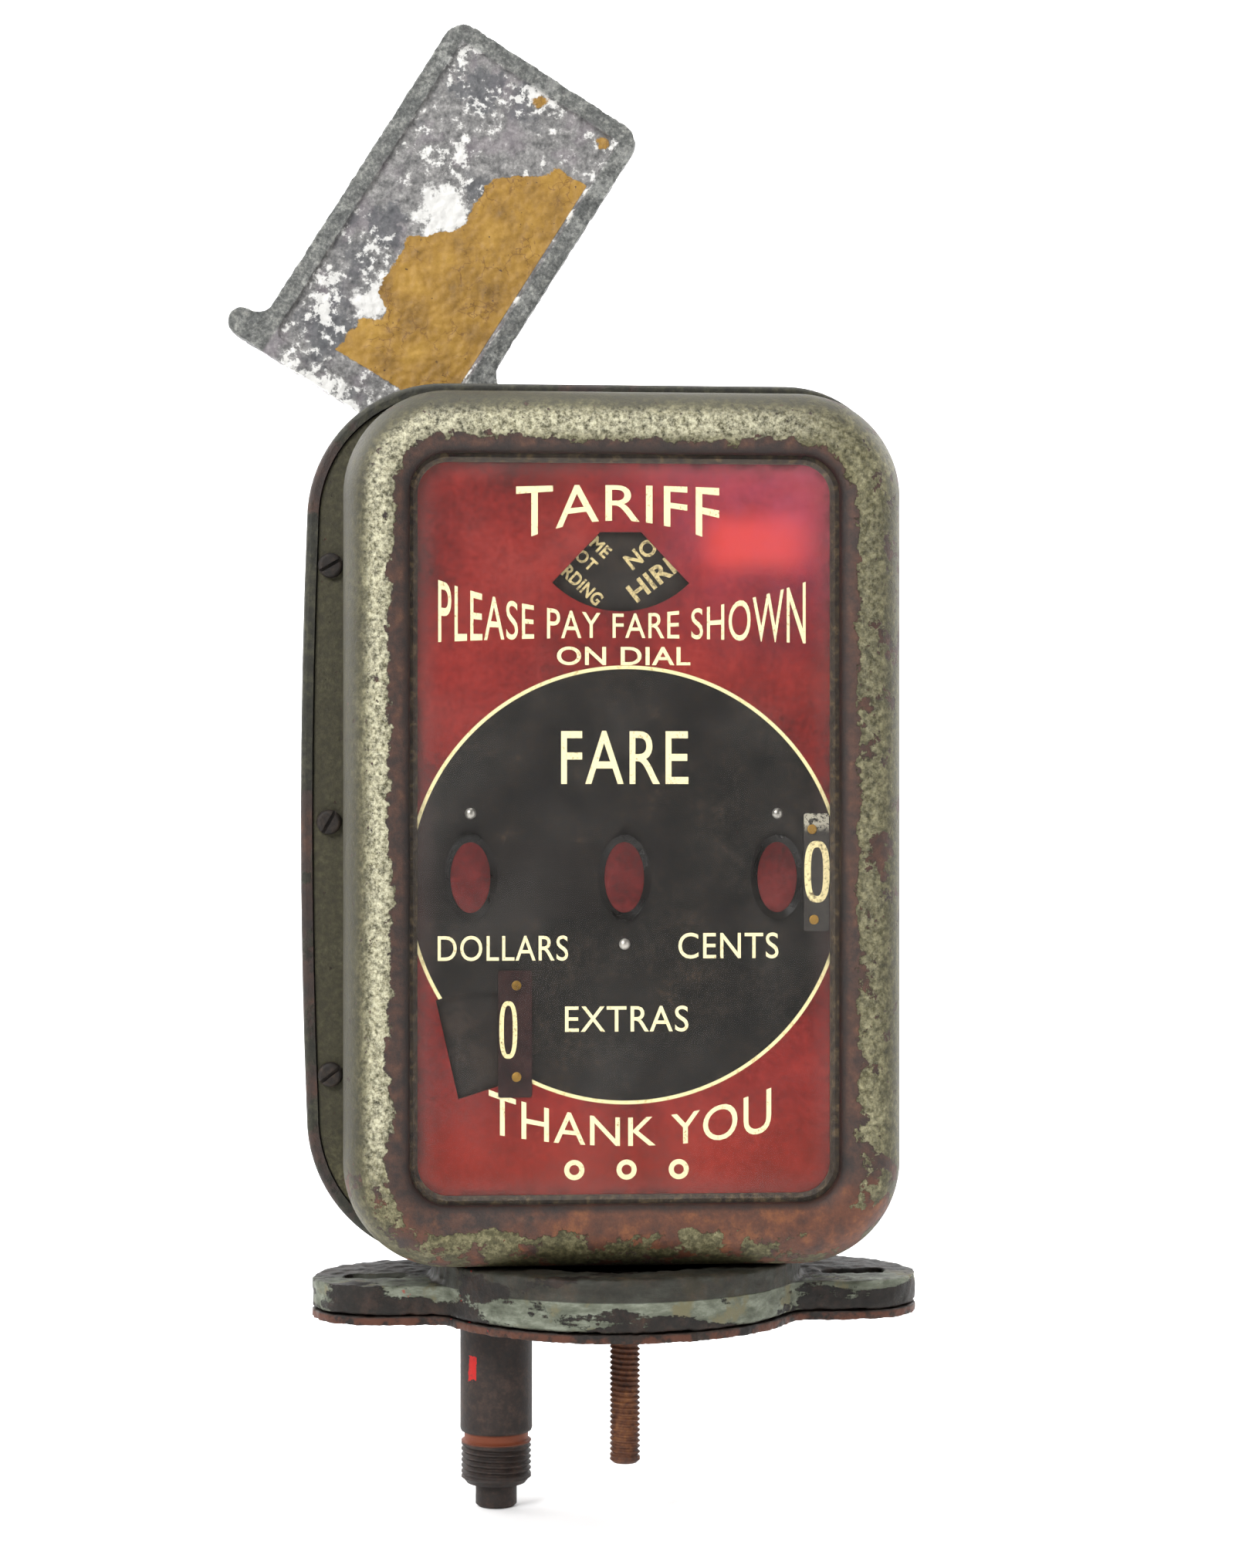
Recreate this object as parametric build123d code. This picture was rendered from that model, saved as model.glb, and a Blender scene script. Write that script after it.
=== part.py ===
from build123d import *
import math
import os

# Taxi meter with a swinging "for hire" flag.
# Millimetres. X to the right and Z up as seen by the passenger, who looks along +Y.
# The origin is the centre of the underside of the mounting foot.

# ---- mounting foot ----
plate_thick = 2.5           # wear plate under the casting
plate_hole_gap = 0.3        # room round the stud and the coupling where they pass the plate
ear_top = 10.5              # top of the two ears
boss_radius = 49.5
boss_top = 16.5             # the case stands on this rim
boss_floor = 8.0
pocket_radius = 36.0
ear_tip = 81.0              # centre to the tip of an ear
ear_front_radius = 18.0
ear_back_radius = 29.0
slot_x = 63.9               # centre of each ear's slot
slot_half_width = 3.4
slot_length = 17.0

# ---- stud and cable coupling under the foot ----
stud_x, stud_y = 1.0, -20.0
stud_radius = 3.97
stud_neck_radius = 3.5
stud_top = 15.0
nut_radius, nut_thick = 7.2, 5.5
screw_radius, screw_head_radius, screw_head = 2.0, 3.6, 2.2
stud_bottom = -36.0
spindle_x, spindle_y = -32.0, 0.0
barrel_radius = 9.7
neck_radius = 8.0           # the coupling's neck inside the casting
barrel_bottom = -31.2
thread_radius = 9.35
groove_radius = 8.6         # between the barrel and its thread
thread_end_radius, thread_end = 7.8, 1.6
coupling_bore = 4.5
thread_top, thread_bottom = -33.7, -43.4
bush_radius = 5.5
bush_top, bush_bottom = -30.0, -51.2
spindle_radius = 3.0

# ---- case, seen from the front ----
case_left = 82.0            # the screwed flange shows on this side
left_bulge = 1.6            # how far the left side bows out
case_right = 73.0           # flush with the bullnose
right_bulge = 0.3
case_top, case_bottom = 246.5, 16.5
left_radius_top, left_radius_bottom = 36.0, 38.0
right_radius_top, right_radius_bottom = 29.0, 28.0
case_front, case_back = -14.0, 45.0
case_wall = 3.0
lip_front = -17.0           # rolled lip round the front casing's flange
lip_width = 3.0
lip_left_end = -62.0        # the lip stops here along the bottom
lip_right_end = 228.0       # and at this height on the right
ledge_width = 13.0          # inner ledge that takes the case screws
ledge_back = -10.0
flange_front = -16.0
flange_gap = 0.35
hook_x = 58.0               # two hooks hold the front casing's right side behind the ledge
hook_heights = (65.6, 198.5)

# ---- front casing: a bullnose frame round the window ----
window_half = 55.3
window_bottom, window_top = 33.7, 226.1
window_radius = 10.0
frame_width = 17.1
crown = 7.0                 # distance of the frame's highest line from the window edge
frame_front = -40.0
frame_side_front = -25.5
frame_lip_front, frame_lip_back = -36.8, -35.2
sheet = 2.0

# ---- glass and dial ----
glass_front, glass_back = -35.1, -33.7
dial_front, dial_back = -32.0, -31.2
pane_half = 60.0
pane_bottom, pane_top = 29.0, 231.0
frame_overlap = 2.0         # how far the glass frame shows inside the window
oval_x = 39.7
oval_z = 117.3
oval_rx, oval_rz = 5.15, 9.1
oval_rim = 2.3
oval_back = -30.75
tariff_x, tariff_z = -1.0, 211.0
fan_radius = 25.1
fan_flat_z = 206.4
fan_flat_half = 5.3
label_front = -32.4

# ---- movement ----
front_plate_front, front_plate_back = -24.0, -22.0
rear_plate_front, rear_plate_back = 28.0, 30.0
plate_half = 58.0
plate_bottom, plate_top = 25.0, 237.0
running = 0.05              # radial clearance of every journal
disc_front, disc_back = -29.6, -28.9
drum_radius = 20.0
drum_width = 13.0
drum_y, drum_z = -8.6, oval_z
drum_shaft_radius = 3.0
bracket_x = 51.5
flag_x, flag_z = 22.0, 211.0
flag_shaft_radius = 5.0
gear_module = 1.0
flag_teeth = 23
worm_wheel_teeth = 30
wheel_z = 52.0
extras_x, extras_z = -8.0, 66.0
barrel_x, barrel_z = -24.0, 167.0
barrel_teeth, pinion_teeth = 40, 10
balance_x, balance_z = 34.0, 158.0
pallet_x, pallet_z = 18.0, 159.5

# ---- flag ----
flag_tilt = 32.3            # degrees clockwise from upright, as stored
flag_front, flag_back = 55.0, 60.2
flag_axis = -102.3          # centre line of the plate, measured from the shaft
flag_half = 31.8
flag_top, flag_bottom = 93.3, -18.0
flag_corner = 6.2
flag_rim = 5.5
panel_depth = 1.3
hub_radius = 13.0
hub_front, hub_back = 48.6, 64.0


# ---------- helpers ----------
def slab(outline, y_front, y_back):
    """An XZ outline made solid between two depths."""
    return extrude(Plane.XZ.offset(-y_back) * outline, amount=y_back - y_front)


def rod_y(x, z, radius, y_front, y_back):
    return slab(Pos(x, z) * Circle(radius), y_front, y_back)


def rod_z(x, y, radius, z_low, z_high):
    return extrude(Plane.XY.offset(z_low) * Pos(x, y) * Circle(radius), amount=z_high - z_low)


def rod_x(y, z, radius, x_low, x_high):
    return extrude(Plane.YZ.offset(x_low) * Pos(y, z) * Circle(radius), amount=x_high - x_low)


def block(x_low, x_high, y_low, y_high, z_low, z_high):
    centre = Pos((x_low + x_high) / 2, (y_low + y_high) / 2, (z_low + z_high) / 2)
    return centre * Box(x_high - x_low, y_high - y_low, z_high - z_low)


def rounded_window(half, low, high, radius):
    """A rounded rectangle about x = 0, between two heights."""
    return Pos(0, (low + high) / 2) * RectangleRounded(2 * half, high - low, radius)


def case_outline(inset):
    """The case seen from the front: large round corners, a bowed left side and a nearly straight right side."""
    top, bottom = case_top - inset, case_bottom + inset
    d = math.sqrt(0.5)
    middle = (case_top + case_bottom) / 2

    def side(s, half, r_top, r_bottom, bulge):
        upper = ThreePointArc(
            (s * (half - r_top), top),
            (s * (half - r_top + r_top * d), top - r_top + r_top * d),
            (s * half, top - r_top),
        )
        long_side = ThreePointArc(
            (s * half, top - r_top), (s * (half + bulge), middle), (s * half, bottom + r_bottom)
        )
        lower = ThreePointArc(
            (s * half, bottom + r_bottom),
            (s * (half - r_bottom + r_bottom * d), bottom + r_bottom - r_bottom * d),
            (s * (half - r_bottom), bottom),
        )
        return [upper, long_side, lower]

    left = side(-1, case_left - inset, left_radius_top - inset, left_radius_bottom - inset, left_bulge)
    right = side(1, case_right - inset, right_radius_top - inset, right_radius_bottom - inset, right_bulge)
    top_line = Line((-(case_left - left_radius_top), top), (case_right - right_radius_top, top))
    bottom_line = Line((-(case_left - left_radius_bottom), bottom), (case_right - right_radius_bottom, bottom))
    return make_face(Curve() + left + right + [top_line, bottom_line])


def foot_outline():
    """Round boss with an ear each side. An ear is fuller at the back than at the front."""

    def ear(s):
        front_x = s * (ear_tip - ear_front_radius)
        back_x = s * (ear_tip - ear_back_radius)
        d = math.sqrt(0.5)
        front = ThreePointArc(
            (front_x, -ear_front_radius),
            (front_x + s * ear_front_radius * d, -ear_front_radius * d),
            (s * ear_tip, 0),
        )
        back = ThreePointArc(
            (s * ear_tip, 0),
            (back_x + s * ear_back_radius * d, ear_back_radius * d),
            (back_x, ear_back_radius),
        )
        inner = Polyline((back_x, ear_back_radius), (0, ear_back_radius), (0, -ear_front_radius),
                         (front_x, -ear_front_radius))
        return make_face(Curve() + [front, back, inner])

    outline = Circle(boss_radius) + ear(1) + ear(-1)
    corners = outline.vertices().filter_by(lambda v: 30 < abs(v.X) < 48 and abs(v.Y) > 10)
    return fillet(corners, 7)


def slot_cutter(s, z_low, z_high):
    shape = Pos(s * slot_x, 0) * SlotOverall(slot_length, 2 * slot_half_width)
    return extrude(Plane.XY.offset(z_low) * shape, amount=z_high - z_low)


def gear_outline(teeth, module, phase_deg):
    """Spur gear seen along its axis. Slim trapezoid teeth leave backlash; phase is one tooth's angle."""
    pitch_r = teeth * module / 2
    root_r, tip_r = pitch_r - 1.15 * module, pitch_r + 0.8 * module
    points = []
    for i in range(teeth):
        centre = math.radians(phase_deg + i * 360 / teeth)
        corners = [(root_r, -0.85), (tip_r, -0.32), (tip_r, 0.32), (root_r, 0.85)]
        for r, half_width in corners:
            a = centre + half_width * module / pitch_r
            points.append((r * math.cos(a), r * math.sin(a)))
    return Polygon(*points, align=None)


def spur_gear(x, z, teeth, phase_deg, y_front, y_back, bore):
    outline = Pos(x, z) * (gear_outline(teeth, gear_module, phase_deg) - Circle(bore))
    return slab(outline, y_front, y_back)


def slotted_head(x, z, radius, y_seat, height, slot_deg, direction=-1):
    """Round screw head standing off a plane of constant y, with a straight slot."""
    y_tip = y_seat + direction * height
    low, high = min(y_seat, y_tip), max(y_seat, y_tip)
    head = rod_y(x, z, radius, low, high)
    rim = head.edges().filter_by(GeomType.CIRCLE).sort_by(Axis.Y)
    head = fillet(rim[0] if direction < 0 else rim[-1], height * 0.45)
    slot = slab(Pos(x, z) * Rot(0, 0, slot_deg) * Rectangle(2.2 * radius, 0.9), low - 1, high + 1)
    keep = high - height * 0.5 if direction < 0 else low + height * 0.5
    near, far = (low - 1, keep) if direction < 0 else (keep, high + 1)
    return head - (slot & block(-200, 200, near, far, 0, 300))


# ---------- mounting foot ----------
def make_base_plate():
    plate = extrude(foot_outline(), amount=plate_thick)
    for s in (-1, 1):
        plate -= slot_cutter(s, -1, plate_thick + 1)
    plate -= rod_z(stud_x, stud_y, stud_radius + plate_hole_gap, -1, plate_thick + 1)
    plate -= rod_z(spindle_x, spindle_y, barrel_radius + plate_hole_gap, -1, plate_thick + 1)
    return plate


screw_places = [(41.0, -5.0), (-41.0, -5.0), (25.0, 33.5), (-25.0, 33.5)]


def make_base_casting():
    flat = extrude(Plane.XY.offset(plate_thick) * foot_outline(), amount=ear_top - plate_thick)
    tall = rod_z(0, 0, boss_radius, plate_thick, boss_top)
    casting = flat + tall
    casting -= rod_z(0, 0, pocket_radius, boss_floor, boss_top + 1)
    casting -= rod_z(stud_x, stud_y, stud_neck_radius, 0, boss_floor + 1)
    casting -= rod_z(spindle_x, spindle_y, neck_radius, 0, boss_floor)
    casting -= rod_z(spindle_x, spindle_y, 6.0, boss_floor - 1, boss_top + 1)
    for s in (-1, 1):
        casting -= slot_cutter(s, 0, ear_top + 1)
    for x, y in screw_places:
        casting -= rod_z(x, y, screw_radius, 5.0, boss_top + 1)
    return casting


def make_mounting_stud():
    stud = rod_z(stud_x, stud_y, stud_radius, stud_bottom, 0)
    stud = chamfer(stud.edges().sort_by(Axis.Z)[0], 0.8)
    return stud + rod_z(stud_x, stud_y, stud_neck_radius, 0, stud_top)


def make_stud_nut():
    nut_blank = Plane.XY.offset(boss_floor) * Pos(stud_x, stud_y) * RegularPolygon(nut_radius, 6)
    nut = extrude(nut_blank, amount=nut_thick)
    return nut - rod_z(stud_x, stud_y, stud_neck_radius, 0, 20)


def make_cable_coupling():
    body = rod_z(spindle_x, spindle_y, barrel_radius, barrel_bottom, plate_thick)
    body += rod_z(spindle_x, spindle_y, neck_radius, plate_thick, boss_floor)
    body += rod_z(spindle_x, spindle_y, groove_radius, thread_top, barrel_bottom)
    thread = rod_z(spindle_x, spindle_y, thread_radius, thread_bottom, thread_top)
    cone = Cone(thread_end_radius, thread_radius, thread_end)
    cone = Pos(spindle_x, spindle_y, thread_bottom - thread_end / 2) * cone
    body += thread + cone
    body -= rod_z(spindle_x, spindle_y, bush_radius, thread_bottom - 3, bush_top)
    return body - rod_z(spindle_x, spindle_y, coupling_bore, bush_top - 1, boss_floor + 1)


def make_spindle_bush():
    bush = rod_z(spindle_x, spindle_y, bush_radius, bush_bottom, bush_top)
    bush = chamfer(bush.edges().sort_by(Axis.Z)[0], 0.6)
    return bush - rod_z(spindle_x, spindle_y, spindle_radius + running, bush_bottom - 1, bush_top + 1)


def make_base_screws():
    screws = []
    for x, y in screw_places:
        top = case_bottom + case_wall
        screw = rod_z(x, y, screw_radius, 6.0, top) + rod_z(x, y, screw_head_radius, top, top + screw_head)
        screws.append(screw - block(x - 4, x + 4, y - 0.5, y + 0.5, top + 1.2, top + 3))
    return Compound(children=screws)


# ---------- case ----------
case_screw_places = [(-75.8, 198.5), (-76.2, 131.5), (-75.8, 65.6)]
back_screw_places = [(50, 82), (-50, 82), (50, 186), (-50, 186)]


def frame_path():
    """Window edge as a wire that starts halfway up its right side and runs upwards."""
    w, low, high, r = window_half, window_bottom, window_top, window_radius
    middle = (low + high) / 2
    d = r * (1 - math.sqrt(0.5))
    edges = [Line((w, 0, middle), (w, 0, high - r))]
    edges.append(ThreePointArc((w, 0, high - r), (w - d, 0, high - d), (w - r, 0, high)))
    edges.append(Line((w - r, 0, high), (-w + r, 0, high)))
    edges.append(ThreePointArc((-w + r, 0, high), (-w + d, 0, high - d), (-w, 0, high - r)))
    edges.append(Line((-w, 0, high - r), (-w, 0, low + r)))
    edges.append(ThreePointArc((-w, 0, low + r), (-w + d, 0, low + d), (-w + r, 0, low)))
    edges.append(Line((-w + r, 0, low), (w - r, 0, low)))
    edges.append(ThreePointArc((w - r, 0, low), (w - d, 0, low + d), (w, 0, low + r)))
    edges.append(Line((w, 0, low + r), (w, 0, middle)))
    return Wire(edges)


def frame_profile():
    """Section of the bullnose: x is the distance outward from the window edge, y is the depth."""
    rise = frame_side_front - frame_front
    outer = frame_width - crown
    lines = Curve() + [
        EllipticalCenterArc((crown, frame_side_front), outer, rise, 270, arc_size=90),
        EllipticalCenterArc((crown, frame_lip_front), crown, frame_lip_front - frame_front, 180, arc_size=90),
        Line((0, frame_lip_front), (0, frame_lip_back)),
        Line((0, frame_lip_back), (2.0, frame_lip_back)),
        Line((2.0, frame_lip_back), (crown, frame_front + sheet)),
        EllipticalCenterArc((crown, frame_side_front), outer - sheet, rise - sheet, 270, arc_size=90),
        Line((frame_width - sheet, frame_side_front), (frame_width - sheet, case_front)),
        Line((frame_width - sheet, case_front), (frame_width, case_front)),
        Line((frame_width, case_front), (frame_width, frame_side_front)),
    ]
    return make_face(lines)


def frame_block(outset, y_front, y_back):
    outline = rounded_window(
        window_half + outset, window_bottom - outset, window_top + outset, window_radius + outset
    )
    return slab(outline, y_front, y_back)


def make_front_casing():
    start = Plane(origin=(window_half, 0, (window_bottom + window_top) / 2), x_dir=(1, 0, 0), z_dir=(0, 0, 1))
    bullnose = sweep(start * frame_profile(), path=frame_path())
    flange = slab(case_outline(lip_width + flange_gap), flange_front, case_front)
    flange -= frame_block(frame_width - 0.5 * sheet, flange_front - 1, case_front + 1)
    for x, z in case_screw_places:
        flange -= rod_y(x, z, 2.2, flange_front - 1, case_front + 1)
    casing = bullnose + flange
    for z in hook_heights:
        casing += block(hook_x - 1.5, window_half + frame_width - 1, -18.0, flange_front, z - 5, z + 5)
        casing += block(hook_x - 1.5, hook_x + 1, flange_front - 1, ledge_back + 2.5, z - 5, z + 5)
        casing += block(hook_x - 1.5, hook_x + 8, ledge_back + 0.6, ledge_back + 2.5, z - 5, z + 5)
    return casing


def make_rear_case():
    shell = slab(case_outline(0), lip_front, case_back)
    shell = fillet(shell.faces().sort_by(Axis.Y)[-1].edges(), 7)
    shell = fillet(shell.faces().sort_by(Axis.Y)[0].edges(), 1.4)
    hollow = slab(case_outline(case_wall), lip_front - 1, case_back - case_wall)
    hollow = fillet(hollow.faces().sort_by(Axis.Y)[-1].edges(), 4)
    shell -= hollow
    # the lip stops where the bullnose comes out to the case's edge, along the bottom and up the right side
    shell -= block(lip_left_end, case_left, lip_front - 1, case_front, case_bottom - 1, case_bottom + 20)
    shell -= block(0, case_left, lip_front - 1, case_front, case_bottom, lip_right_end)
    shell -= frame_block(frame_width + flange_gap, lip_front - 1, case_front)
    ledge = slab(case_outline(0.5 * case_wall), case_front, ledge_back)
    ledge -= slab(case_outline(ledge_width), case_front - 1, ledge_back + 1)
    shell += ledge
    for x, z in case_screw_places:
        shell -= rod_y(x, z, 2.0, case_front - 1, ledge_back + 1)
    for x, z in back_screw_places:
        shell -= rod_y(x, z, 2.0, case_back - case_wall - 1, case_back + 1)
    for x, y in screw_places:
        shell -= rod_z(x, y, 2.0, case_bottom - 1, case_bottom + case_wall + 1)
    shell -= rod_z(spindle_x, spindle_y, 6.0, case_bottom - 1, case_bottom + case_wall + 1)
    shell -= rod_y(flag_x, flag_z, 9.0, case_back - case_wall - 1, case_back + 1)
    shell -= rod_y(extras_x, extras_z, 6.0, case_back - case_wall - 1, case_back + 1)
    shell -= rod_y(barrel_x, barrel_z, 6.0, case_back - case_wall - 1, case_back + 1)
    return shell


def make_case_screws():
    screws = []
    slot_angles = [30, 60, 38]
    for (x, z), angle in zip(case_screw_places, slot_angles):
        head = slotted_head(x, z, 3.25, flange_front, 2.3, angle)
        screws.append(head + rod_y(x, z, 2.0, flange_front, ledge_back + 2))
    return Compound(children=screws)


def make_back_screws():
    screws = []
    for x, z in back_screw_places:
        head = slotted_head(x, z, 4.0, case_back, 2.2, 35, direction=1)
        screws.append(head + rod_y(x, z, 2.0, rear_plate_front, case_back))
    return Compound(children=screws)


# ---------- glass and dial ----------
def make_front_glass():
    return slab(rounded_window(pane_half, pane_bottom, pane_top, 9), glass_front, glass_back)


def make_glass_frame():
    outer = slab(rounded_window(pane_half, pane_bottom, pane_top, 9), glass_back, dial_front)
    opening = rounded_window(
        window_half - frame_overlap, window_bottom + frame_overlap, window_top - frame_overlap,
        window_radius - frame_overlap,
    )
    ring = outer - slab(opening, glass_back - 1, dial_front + 1)
    inner_edges = ring.edges().filter_by(
        lambda e: abs(e.center().Y - glass_back) < 0.01 and abs(e.center().X) < window_half
        and window_bottom < e.center().Z < window_top
    )
    return chamfer(inner_edges, 1.1)


def oval(grow, x):
    return Pos(x, oval_z) * Ellipse(oval_rx + grow, oval_rz + grow)


def fan_outline():
    """Tariff window: a quarter fan below the disc's centre, cut flat near the centre."""
    d = math.sqrt(0.5)
    low = tariff_z - fan_radius * d
    left = (tariff_x - fan_radius * d, low)
    right = (tariff_x + fan_radius * d, low)
    flat_left = (tariff_x - fan_flat_half, fan_flat_z)
    flat_right = (tariff_x + fan_flat_half, fan_flat_z)
    arc = ThreePointArc(left, (tariff_x, tariff_z - fan_radius), right)
    return make_face(Curve() + [arc, Polyline(right, flat_right, flat_left, left)])


def extras_outline():
    """Extras window: an arched top, a leaning left side and a rising lower edge."""
    top_left, top_middle, top_right = (-48.6, 85.8), (-39.5, 88.0), (-29.0, 87.0)
    low_right, low_left = (-29.0, 64.8), (-42.8, 60.4)
    arc = ThreePointArc(top_left, top_middle, top_right)
    return make_face(Curve() + [arc, Polyline(top_right, low_right, low_left, top_left)])


dial_posts = [(57.3, 36.0), (-57.3, 36.0), (57.3, 222.0), (-57.3, 222.0)]
rivet_places = [(-39.7, 133.8), (39.7, 133.8), (0.0, 100.1)]


def make_dial_plate():
    plate = slab(rounded_window(pane_half, pane_bottom, pane_top, 9), dial_front, dial_back)
    plate -= slab(fan_outline(), dial_front - 1, dial_back + 1)
    plate -= slab(extras_outline(), dial_front - 1, dial_back + 1)
    for x in (-oval_x, 0, oval_x):
        outer = loft([
            Plane.XZ.offset(-dial_front) * oval(oval_rim, x),
            Plane.XZ.offset(-oval_back) * oval(0.5, x),
        ])
        inner = loft([
            Plane.XZ.offset(-dial_front + 0.001) * oval(oval_rim - 0.5, x),
            Plane.XZ.offset(-oval_back - 0.001) * oval(0, x),
        ])
        plate -= slab(oval(oval_rim - 0.3, x), dial_front - 1, dial_back + 1)
        plate += outer - inner
    for x, z in dial_posts:
        plate -= rod_y(x, z, 1.2, dial_front - 1, dial_back + 1)
    for x, z in rivet_places:
        plate -= rod_y(x, z, 0.9, dial_front - 1, dial_back + 1)
    return plate


def make_dial_rivets():
    rivets = []
    for x, z in rivet_places:
        head = Pos(x, dial_front + 0.9, z) * Sphere(1.7)
        head &= block(x - 3, x + 3, dial_front - 2, dial_front, z - 3, z + 3)
        rivets.append(head + rod_y(x, z, 0.9, dial_front, dial_back + 1.0))
    return Compound(children=rivets)


def label_plate(x_low, x_high, z_low, z_high, screws):
    plate = block(x_low, x_high, label_front, dial_front, z_low, z_high)
    plate = fillet(plate.edges().filter_by(Axis.Y), 0.7)
    for x, z in screws:
        plate -= rod_y(x, z, 0.7, label_front - 1, dial_front + 1)
    return plate


cents_screws = [(48.6, 129.7), (49.1, 106.3)]
extras_screws = [(-27.9, 89.6), (-27.9, 66.1)]


def make_plate_screws():
    screws = []
    for x, z in cents_screws + extras_screws:
        head = slotted_head(x, z, 1.25, label_front, 0.55, 70)
        screws.append(head + rod_y(x, z, 0.7, label_front, dial_front))
    return Compound(children=screws)


rail_x = 55.0


def make_shutter_rails():
    """Two strips riveted behind the dial that carry the fare shutter."""
    upper = block(-rail_x, rail_x, dial_back, dial_back + 1.6, 131.2, 136.4)
    lower = block(-rail_x, rail_x, dial_back, dial_back + 1.6, 97.4, 103.0)
    for x, z in rivet_places:
        bore = rod_y(x, z, 0.9, dial_back - 1, dial_back + 1.0)
        upper -= bore
        lower -= bore
    return Compound(children=[upper, lower])


shutter_travel = 20.0


def make_fare_shutter():
    shape = block(-48.0, 68.0, -30.5, -30.0, 103.3, 130.9)
    for x in (-oval_x, 0, oval_x):
        shape -= slab(oval(0.6, x + shutter_travel), -31, -29)
    return shape


# ---------- movement frame ----------
pillar_places = [(s * x, z) for s in (-1, 1) for x, z in ((40, 34), (50, 149), (50, 226))]


def pierced_plate(y_front, y_back, holes):
    plate = slab(rounded_window(plate_half, plate_bottom, plate_top, 12), y_front, y_back)
    for x, z, radius in holes:
        plate -= rod_y(x, z, radius, y_front - 1, y_back + 1)
    return plate


def make_front_movement_plate():
    holes = [
        (tariff_x, tariff_z, 2.5 + running), (flag_x, flag_z, 4.0 + running),
        (extras_x, extras_z, 3.0 + running), (-52, wheel_z, 2.0 + running),
        (barrel_x, barrel_z, 3.0 + running), (barrel_x + 25, barrel_z, 1.5 + running),
    ]
    plate = pierced_plate(front_plate_front, front_plate_back, holes)
    return plate - block(-50.5, 50.5, front_plate_front - 1, front_plate_back + 1, 94.0, 141.0)


def make_rear_movement_plate():
    holes = [
        (tariff_x, tariff_z, 2.5 + running), (flag_x, flag_z, flag_shaft_radius + running),
        (extras_x, extras_z, 3.0 + running), (-52, wheel_z, 2.0 + running),
        (barrel_x, barrel_z, 3.0 + running), (barrel_x + 25, barrel_z, 1.5 + running),
        (balance_x, balance_z, 1.0 + running), (pallet_x, pallet_z, 1.0 + running),
    ]
    holes += [(x, z, 2.0) for x, z in back_screw_places]
    return pierced_plate(rear_plate_front, rear_plate_back, holes)


def make_movement_pillars():
    return Compound(children=[rod_y(x, z, 3.2, front_plate_back, rear_plate_front) for x, z in pillar_places])


def make_pillar_screws():
    screws = []
    for x, z in pillar_places:
        screws.append(slotted_head(x, z, 3.2, front_plate_front, 1.6, 20))
        screws.append(slotted_head(x, z, 3.2, rear_plate_back, 1.6, 65, direction=1))
    return Compound(children=screws)


def make_rear_spacers():
    tubes = []
    for x, z in back_screw_places:
        tube = rod_y(x, z, 5.0, rear_plate_back, case_back - case_wall)
        tubes.append(tube - rod_y(x, z, 2.0, rear_plate_back - 1, case_back))
    return Compound(children=tubes)


def make_dial_posts():
    posts = []
    for x, z in dial_posts:
        posts.append(rod_y(x, z, 2.2, dial_back, front_plate_front) + rod_y(x, z, 1.2, dial_front, dial_back))
    return Compound(children=posts)


# ---------- fare drums ----------
def make_drum_shaft():
    return rod_x(drum_y, drum_z, drum_shaft_radius, -bracket_x - 2.5, bracket_x + 2.5)


def make_drum_brackets():
    brackets = []
    for s in (-1, 1):
        low, high = sorted((s * bracket_x, s * (bracket_x + 2.5)))
        plate = block(low, high, front_plate_back, 20.0, 103.0, 141.0)
        foot_low, foot_high = sorted((s * bracket_x, s * (bracket_x + 5.5)))
        plate += block(foot_low, foot_high, front_plate_back, front_plate_back + 2, 103.0, 141.0)
        plate -= rod_x(drum_y, drum_z, drum_shaft_radius, low - 1, high + 1)
        plate -= rod_x(14.0, 136.0, 2.0, low - 1, high + 1)
        brackets.append(plate)
    return Compound(children=brackets)


def make_fare_drum(x):
    """Figure drum with a ten-tooth ratchet on its right side."""
    half = drum_width / 2
    drum = rod_x(drum_y, drum_z, drum_radius, x - half, x + half)
    drum -= rod_x(drum_y, drum_z, drum_radius - 1.5, x - half - 1, x - half + 4)
    drum += rod_x(drum_y, drum_z, 6.0, x - half, x - half + 5)
    teeth = []
    for i in range(10):
        a, b = math.radians(36 * i), math.radians(36 * (i + 1))
        teeth.append((13.0 * math.cos(a), 13.0 * math.sin(a)))
        teeth.append((10.5 * math.cos(b - 0.02), 10.5 * math.sin(b - 0.02)))
    ratchet = Pos(drum_y, drum_z) * Polygon(*teeth, align=None)
    drum += extrude(Plane.YZ.offset(x + half) * ratchet, amount=3.0)
    return drum - rod_x(drum_y, drum_z, drum_shaft_radius + running, x - half - 1, x + half + 4)


def make_click_springs():
    """Cross bar with one leaf click per drum, lifted just clear of the ratchets."""
    bar = rod_x(14.0, 136.0, 2.0, -bracket_x - 2.5, bracket_x + 2.5)
    for x in (-oval_x, 0, oval_x):
        left = x + drum_width / 2 + 0.6
        bar += block(left, left + 1.8, -4.0, 14.0, 130.7, 131.3)
        bar += block(left, left + 1.8, 13.2, 14.0, 130.7, 135.0)
    return bar


# ---------- drive from the cable ----------
def make_drive_spindle():
    shaft = rod_z(spindle_x, spindle_y, spindle_radius, bush_bottom + 1.2, 70.0)
    return shaft - Pos(spindle_x, spindle_y, bush_bottom + 6.2) * Box(2.7, 2.7, 12.0)


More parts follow.
